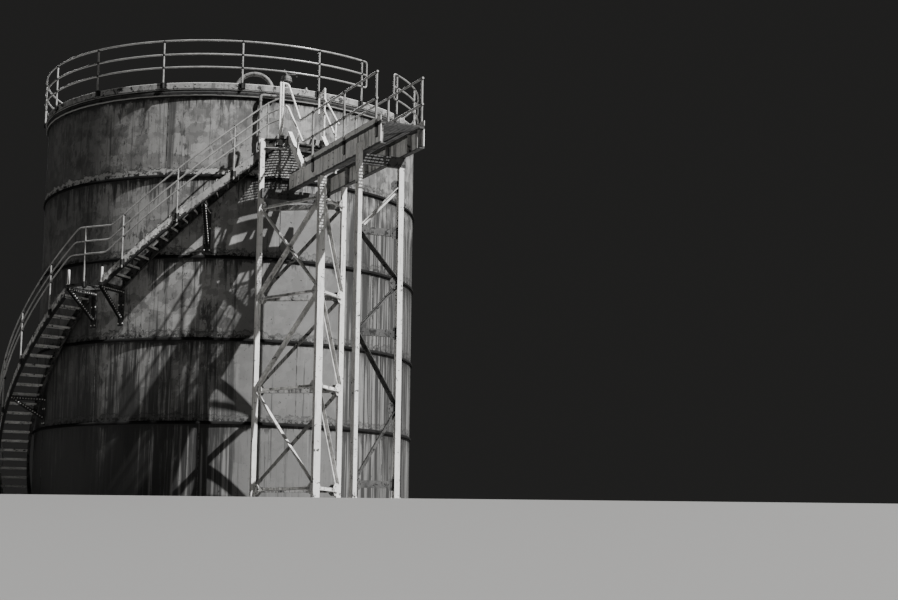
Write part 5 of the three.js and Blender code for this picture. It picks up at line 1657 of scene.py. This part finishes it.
@dataclass
class Tower:
    """The legs under the stair head and the gangway's outer end, and their bracing."""

    line: Line
    foot: float = 0.25
    foot_plate: float = 0.02
    foot_bolt: float = 0.1
    plate: float = 0.009
    angle: float = 0.065
    gusset: tuple[float, float] = (0.13, 0.1)
    gusset_half: float = 0.005
    overlap: float = 0.004
    sides: tuple[Side, ...] = (
        Side("ab", "tower_bracing_ab", TOWER_LEVELS, ((5.44, 3.76), (3.76, 5.44), (2.08, 3.76), (2.08, 0.3)),
             BRACE, 0.055),
        Side("bc", "tower_bracing_bc", TOWER_LEVELS, ZIGZAG, BRACE),
        Side("ca", "tower_bracing_ac", TOWER_LEVELS, ZIGZAG, GIRDER, 0.09),
        Side("de", "gangway_bracing_de", (4.5, 2.8, 0.3),
             ((4.5, 3.65), (2.8, 3.65), (2.8, 1.55), (0.3, 1.55)), TRUSS, 0.12, ((4.5, 5.3),)),
    )

    def legs(self) -> dict[str, Leg]:
        """The five legs by name."""
        at = self.line.at
        return {
            "a": Leg(np.array([1.116, -4.429, 0.0]), 6.75, (0.085, 0.085)),
            "b": Leg(at(1.5, 0.06, 0.0), 5.8, (0.12, 0.12)),
            "c": Leg(at(0.85, 0.7475, 0.0), 5.8, (0.085, 0.085)),
            "d": Leg(at(3.4, -0.0328, 0.0), 5.985, (0.065, 0.15)),
            "e": Leg(at(3.4, 0.73, 0.0), 5.62, (0.09, 0.09)),
        }

    def leg(self, leg: Leg) -> Surfaces:
        """A rolled post on a bolted foot plate with four ribs.

        Args:
            leg: The leg.

        Returns:
            Its surfaces.
        """
        across, out = self.line.across, self.line.out
        path = np.array([leg.place, leg.place + UP * leg.top])
        made = [swept(h_section(*leg.size, self.plate), path, across, out),
                bar(leg.place, leg.place + UP * self.foot_plate, self.foot, self.foot, across, 0.004)]
        for way, size in ((across, leg.size[0]), (-across, leg.size[0]), (out, leg.size[1]),
                          (-out, leg.size[1])):
            rib = leg.place + way * (size / 2 + 0.02)
            made.append(bar(rib + UP * 0.019, rib + UP * 0.09, 0.045, 0.01, way))
        return made + [bolt(leg.place + across * x * self.foot_bolt + out * y * self.foot_bolt
                            + UP * self.foot_plate, UP, 0.015)
                       for x in SIDES for y in SIDES]

    def reach(self, leg: Leg, along: np.ndarray) -> float:
        """How far a leg's middle is from just inside its face, along a direction."""
        return min(size / 2 / max(abs(float(along @ way)), 1e-6)
                   for size, way in zip(leg.size, (self.line.across, self.line.out))) - self.overlap

    def gusset_plate(self, leg: Leg, along: np.ndarray, height: float) -> tuple[Surface, Surfaces]:
        """A gusset with cut corners on a leg's face, and the bolts through it.

        Args:
            leg: The leg it is on.
            along: Level direction from the leg towards the other leg.
            height: Height of its middle.

        Returns:
            The plate and its bolts.
        """
        face = np.cross(along, UP)
        run, half = self.gusset
        outline = np.array([(0, -half), (0, half), (run * 0.6, half), (run, half * 0.4), (run, -half * 0.4),
                            (run * 0.6, -half)])
        base = leg.place + along * self.reach(leg, along) + UP * height
        flat = base + outline[:, :1] * along + outline[:, 1:] * UP
        plate = lattice(np.array([flat + face * side * self.gusset_half for side in SIDES]))
        return plate, [bolt(base + along * r * run + UP * lift * half + face * side * self.gusset_half,
                            face * side,
                            0.01) for r, lift in ((0.35, 0.6), (0.35, -0.6), (0.75, 0.0)) for side in SIDES]

    def brace_side(self, side: Side) -> tuple[Surfaces, Surfaces, Surfaces]:
        """The bars and gussets of one side: point = (1 - t) first end + t second end.

        Args:
            side: The side's legs, levels and diagonals.

        Returns:
            The bars and gussets, the pale bars, and the bolts.
        """
        first, second = (self.legs()[name] for name in side.legs)
        along = unit(second.place - first.place)
        face = np.cross(along, UP)
        diagonals = (*side.diagonals, *side.pale)

        def span(low: float, high: float) -> np.ndarray:
            """A bar's ends, just inside the legs' faces."""
            start, end = first.place + UP * low, second.place + UP * high
            length = float(np.linalg.norm(second.place - first.place))
            cuts = [self.reach(leg, along) / length for leg in (first, second)]
            return np.array([start + (end - start) * cuts[0], end - (end - start) * cuts[1]])

        deep = side.beam > 0.1
        section = channel(side.beam, 0.05) if deep else angle(side.beam, self.plate)
        made = [swept(section, span(level, level), -face if deep else face, UP) for level in side.levels]
        bolts: Surfaces = []
        bars: dict[bool, Surfaces] = {True: [], False: []}
        for diagonal in diagonals:
            path = span(*diagonal)
            up = np.cross(unit(path[1] - path[0]), face)
            bars[diagonal in side.pale].append(
                swept(angle(self.angle, self.plate), path + face * 0.012, face, up))
        for leg, way, end in ((first, 1, 0), (second, -1, 1)):
            for height in sorted({*side.levels, *(pair[end] for pair in diagonals)}):
                plate, extra = self.gusset_plate(leg, along * way, height)
                made.append(plate)
                bolts += extra
        return made + bars[False], bars[True], bolts

    def build(self) -> None:
        """Makes the legs, the bracing and its bolts."""
        for name, leg in self.legs().items():
            piece(f"leg_{name}", self.leg(leg), PALE, [f"tower_leg_{name}"])
        bolts: Surfaces = []
        for side in self.sides:
            made, pale, extra = self.brace_side(side)
            bolts += extra
            piece(f"bracing_{side.legs}", made, side.finish, [side.node])
            if pale:
                piece(f"pale_bracing_{side.legs}", pale, BRACE)
        piece("bracing_bolts", bolts, CLAMP)


@dataclass
class HeadPlatform:
    """The platform at the stair head and the short flight down to the gangway, with their rails."""

    line: Line
    stair: CurvedStair
    top: float = 6.82
    frame_depth: float = 0.18
    frame_flange: float = 0.06
    deck_from: tuple[float, float] = (-0.9, -0.58)
    bar_pitch: float = 0.04
    rod_pitch: float = 0.07
    gangway_top: float = 6.15
    run: tuple[float, float] = (0.15, 0.859)
    rise: tuple[float, float] = (6.909, 6.165)
    sides: tuple[float, float] = (-0.1, 0.635)
    stringer_depth: float = 0.2
    near_foot: float = 6.1
    far_foot: float = 6.1605
    flange: float = 0.075
    flange_plate: float = 0.012
    risers: int = 4
    tread_width: float = 0.15
    plate: float = 0.014
    beam_y: float = -4.41
    beam_top: float = 6.75
    beam_width: float = 0.13
    beam_plate: float = 0.012
    beam_ends: tuple[float, float] = (1.165, 1.572)
    post_top: float = 7.85
    twin: tuple[float, float] = (1.45, -4.395)
    twin_gap: float = 0.046
    far_side: float = 0.6
    tube_radius: float = 0.0195
    post_radius: float = 0.02
    clear_radius: float = 3.83

    def edge(self, s: Any) -> Any:
        """Height of the stringers' upper edge: a straight fall from the platform to the gangway."""
        return np.interp(s, self.run, self.rise)

    def corners(self) -> np.ndarray:
        """The platform's outline: beside the stair, along the edge beam, then round by the short flight."""
        far = self.line.at(self.run[0], 0.655, 0.0)
        return np.array([polar(self.stair.head, self.clear_radius, 0.0), polar(self.stair.head, 4.54, 0.0),
                         [1.385, -4.445, 0.0], self.line.at(self.run[0], -0.18, 0.0), far,
                         far - self.line.out])

    def frame(self) -> Surfaces:
        """Channel beams round the platform's outline, webs outwards."""
        corners = self.corners()
        middle = corners.mean(axis=0)
        made = []
        for start, end in zip(corners[:-1], corners[1:]):
            inwards = unit(np.cross(UP, unit(end - start)))
            if np.dot(inwards, middle - start) < 0:
                inwards = -inwards
            path = np.array([start, end]) + UP * (self.top - self.frame_depth / 2 - 0.0005)
            made.append(swept(channel(self.frame_depth, self.frame_flange), path, inwards, UP))
        return made

    def edge_beam(self) -> Surfaces:
        """The beam from leg A to the short flight, its flanges to the front, with stiffeners and bolts."""
        back, z = self.beam_y + self.beam_width / 2, self.beam_top - self.frame_depth / 2
        path = np.array([[x, back, z] for x in self.beam_ends])
        made = [swept(channel(self.frame_depth, self.beam_width, self.beam_plate), path, SOUTH, UP)]
        made += [bar(np.array([x, back - 0.01, z]), np.array([x, back - 0.1, z]), 0.158, 0.008)
                 for x in (1.172, 1.36, 1.5)]
        return made + [bolt(np.array([x, back - 0.012, z + lift]), SOUTH, 0.012)
                       for x in (1.22, 1.3) for lift in (-0.045, 0.045)]

    def deck(self) -> Surfaces:
        """Grating bars across the gangway, and rods along it, cut to the outline and clear of the shell."""
        line, made = self.line, []
        flat = [((corner - line.start) @ line.out, (corner - line.start) @ line.across)
                for corner in self.corners()]
        outline = list(zip(flat, flat[1:] + flat[:1]))
        bars = np.arange(self.deck_from[0], self.run[0], self.bar_pitch)
        rods = np.arange(self.deck_from[1], 0.65, self.rod_pitch)
        for along, places, z in ((0, bars, self.top - 0.021), (1, rods, self.top - 0.006)):
            for place in places:
                cuts = [a[1 - along]
                        + (b[1 - along] - a[1 - along]) * (place - a[along]) / (b[along] - a[along])
                        for a, b in outline if (a[along] - place) * (b[along] - place) < 0]
                if len(cuts) != 2:
                    continue
                reach = np.linspace(min(cuts), max(cuts), 80)
                points = line.at(reach, place, z) if along else line.at(place, reach, z)
                points = points[np.hypot(points[:, 0], points[:, 1]) > self.clear_radius]
                if len(points) > 2:
                    ends = points[[0, -1]]
                    made.append(tube(ends, 0.006, 4) if along else bar(*ends, 0.022, 0.007))
        return made

    def stringer(self, w: float, foot: float) -> Surface:
        """A stringer plate of the short flight, its lower end cut level at its foot.

        Args:
            w: Its nearer face across the gangway.
            foot: Height of its foot.

        Returns:
            The plate.
        """
        (s0, s1), fall = self.run, (self.rise[0] - self.rise[1]) / (self.run[1] - self.run[0])
        under = s0 + (self.rise[0] - self.stringer_depth - foot) / fall
        outline = np.array([(s0 + 0.0005, self.rise[0]), (s1, self.rise[1]), (s1, foot), (under, foot),
                            (s0 + 0.0005, self.rise[0] - self.stringer_depth)])
        return self.line.slab(outline, w, w + self.plate)

    def stringer_flange(self, low: float, high: float, drop: float) -> Surface:
        """A stringer's flange between two places across the flight, drop below the upper edge."""
        s0, s1, thick = self.run[0] + 0.001, self.run[1] - drop * 0.45, self.flange_plate
        outline = np.array([(s, self.edge(s) - drop - t)
                            for s, t in ((s0, 0), (s1, 0), (s1, thick), (s0, thick))])
        return self.line.slab(outline, low, high)

    def flight(self) -> tuple[Surfaces, Surfaces]:
        """The short flight's stringers with their flanges, and its grating treads."""
        line, (near, far) = self.line, self.sides
        sides = [self.stringer(near, self.near_foot), self.stringer(far - self.plate, self.far_foot)]
        for drop in (0.0, self.stringer_depth - 0.03):
            sides += [self.stringer_flange(near, near + self.flange, drop),
                      self.stringer_flange(far - self.flange, far, drop)]
        sides.append(bar(*line.at(0.79, [near, -0.0008], 6.1275), 0.075, 0.1))
        rise = (self.top - self.gangway_top) / self.risers
        treads: Surfaces = []
        low, high = near + self.plate, far - self.plate
        for i in range(1, self.risers):
            height = self.top - rise * i
            nosing = float(np.interp(-height - 0.01, [-self.rise[0], -self.rise[1]], self.run))
            back = nosing - self.tread_width
            treads += [bar(*line.at(s, [low, high], height - 0.018), 0.034, 0.006)
                       for s in np.linspace(back, nosing - 0.004, 7)]
            treads += [tube(line.at([back, nosing], w, height - 0.005), 0.004, 4)
                       for w in np.linspace(low + 0.05, high - 0.05, 7)]
        return sides, treads

    def near_rail(self) -> Surfaces:
        """Twin posts on a foot plate, two tubes that bend down to the gangway's rail, and a short post."""
        line, foot = self.line, np.array([*self.twin, self.top])
        posts = [np.array([self.twin[0] + side * self.twin_gap / 2, self.twin[1], 0.0]) for side in SIDES]
        made = [turned([(self.post_radius, self.top), (self.post_radius, self.post_top - 0.02),
                        (0.012, self.post_top)], place) for place in posts]
        made.append(bar(foot, foot + UP * 0.012, 0.06, 0.12, -SOUTH, 0.002))
        for high, bend, end, low in ((7.83, 0.095, 0.556, 7.04), (7.409, 0.084, 0.713, 6.59)):
            corners = [posts[0] + UP * high, line.at(bend, self.sides[0], high), line.at(end, -0.0185, low)]
            made.append(tube(rounded(corners, 0.07), self.tube_radius))
        return made + [upright(line.at(0.56, -0.06, 0.0), self.tube_radius, float(self.edge(0.58)), 6.785)]

    def far_rail(self) -> Surfaces:
        """Two posts with sloping tubes on the far side, and the loop that closes them towards the shell."""
        at, w = self.line.at, self.far_side
        made = [turned([(self.post_radius, float(self.edge(s + 0.02))), (self.post_radius, top - 0.01),
                        (0.012, top)], at(s, w, 0.0)) for s, top in ((0.17, 7.827), (0.75, 7.095))]
        made += [tube(at(run, w, fall), self.tube_radius)
                 for run, fall in (([0.17, 0.919], [7.621, 6.941]), ([0.17, 0.767], [7.386, 6.739]))]
        loop = at([0.17, -0.12, -0.12, 0.17], w, [7.8, 7.735, 7.37, 7.37])
        return made + [tube(rounded(loop, 0.06), self.tube_radius)]

    def build(self) -> None:
        """Makes the platform, the short flight and their rails."""
        piece("platform_beams", self.frame(), GIRDER, ["stair_head_platform"])
        piece("platform_edge_beam", self.edge_beam(), BEAM)
        piece("platform_grating", self.deck(), DARK_STEEL)
        sides, treads = self.flight()
        piece("flight_stringers", sides, WHITE, ["short_flight"])
        piece("flight_treads", treads, TREAD)
        piece("flight_rail_near", self.near_rail(), WHITE, ["short_flight_rail_near"])
        piece("flight_rail_far", self.far_rail(), WHITE, ["short_flight_rail_far"])


# The room round the tank

@dataclass
class Studio:
    """A pale floor that falls away in front, soft lights and the camera.

    Each row of lights is the values that light() takes.
    """

    eye: tuple[float, float, float] = (4.5952, -34.7354, -0.9646)
    pitch: float = 8.888
    roll: float = 0.6187
    lens: float = 67.55
    sensor: float = 36.0
    view_end: float = 300.0
    crest: float = -8.7
    fall: float = 0.085
    ease: float = 2.0
    half_width: float = 70.0
    floor_grey: float = 0.19
    room_grey: float = 0.42
    room_strength: float = 0.045
    target: tuple[float, float, float] = (0.0, 0.0, 4.0)
    lights: tuple[tuple[str, tuple[float, float, float], float, float], ...] = (
        ("key", (74.2, -49.1, 97.4), 1.2, 430000), ("fill", (-31.0, -8.0, 7.0), 9.0, 330),
        ("back", (-8.0, 22.0, 18.0), 10.0, 1800))

    def floor(self) -> None:
        """The floor: level behind the crest, then height = -fall * depth in front, eased between."""
        y = np.concatenate([np.linspace(-60, self.crest - 4, 20),
                            np.linspace(self.crest - 3.8, self.crest, 20),
                            np.linspace(self.crest + 1, 70, 8)])
        depth = np.clip(self.crest - y, 0, None)
        z = -self.fall * np.where(depth < self.ease, depth ** 2 / (2 * self.ease), depth - self.ease / 2)
        x = np.array([-self.half_width, self.half_width])
        grid = np.stack(np.broadcast_arrays(x[None, :], y[:, None], z[:, None]), axis=-1)
        rows = 2 * np.arange(len(y) - 1)
        faces = np.stack([rows, rows + 1, rows + 3, rows + 2], axis=-1)
        mesh = bpy.data.meshes.new("floor")
        mesh.from_pydata((grid.reshape(-1, 3) - [0, 0, 0.0005]).tolist(), [], faces.tolist())
        mesh.polygons.foreach_set("use_smooth", [True] * len(mesh.polygons))
        material = bpy.data.materials.new("pale_floor")
        material.use_nodes = True
        Graph(material.node_tree).finish("BsdfPrincipled",
                                         {"Base Color": grey(self.floor_grey), "Roughness": 0.9})
        mesh.materials.append(material)
        placed("floor", mesh)

    def light(self, name: str, place: tuple[float, float, float], size: float, power: float) -> None:
        """A square soft light that faces the middle of the tank.

        Args:
            name: The light's name.
            place: Where it stands.
            size: Length of its side.
            power: Its power in watts.
        """
        data = bpy.data.lights.new(name, "AREA")
        data.size, data.energy = size, power
        back = unit(np.array(place) - self.target)
        turn = np.stack([*square_to(back), back]).T
        placed(name, data).matrix_world = Matrix([[*row, p] for row, p in zip(turn, place)] + [[0, 0, 0, 1]])

    def camera(self) -> None:
        """The camera: low in front of the tank, tilted up by pitch and rolled a little."""
        data = bpy.data.cameras.new("camera")
        data.lens, data.sensor_width, data.clip_end = self.lens, self.sensor, self.view_end
        made = placed("camera", data)
        made.matrix_world = (Matrix.Translation(self.eye)
                             @ Matrix.Rotation(math.radians(90 + self.pitch), 4, "X")
                             @ Matrix.Rotation(math.radians(self.roll), 4, "Z"))
        bpy.context.scene.camera = made

    def build(self) -> None:
        """Makes the camera, the floor, the lights and the even light of the room."""
        self.camera()
        self.floor()
        for light in self.lights:
            self.light(*light)
        world = bpy.data.worlds.new("room")
        bpy.context.scene.world = world
        world.use_nodes = True
        Graph(world.node_tree).finish("Background",
                                      {"Color": grey(self.room_grey), "Strength": self.room_strength},
                                      "OutputWorld")


def main() -> None:
    """Builds the room, then the tank from the ground up."""
    logging.basicConfig(level=logging.INFO, format="%(name)s: %(message)s")
    roof, stair, line = Roof(), CurvedStair(), Line()
    for part in (Studio(), Shell(), roof, RoofFittings(roof), RoofRail(), stair, StairRails(stair),
                 Tower(line), HeadPlatform(line, stair), Gangway(line)):
        part.build()


if __name__ == "__main__":
    main()
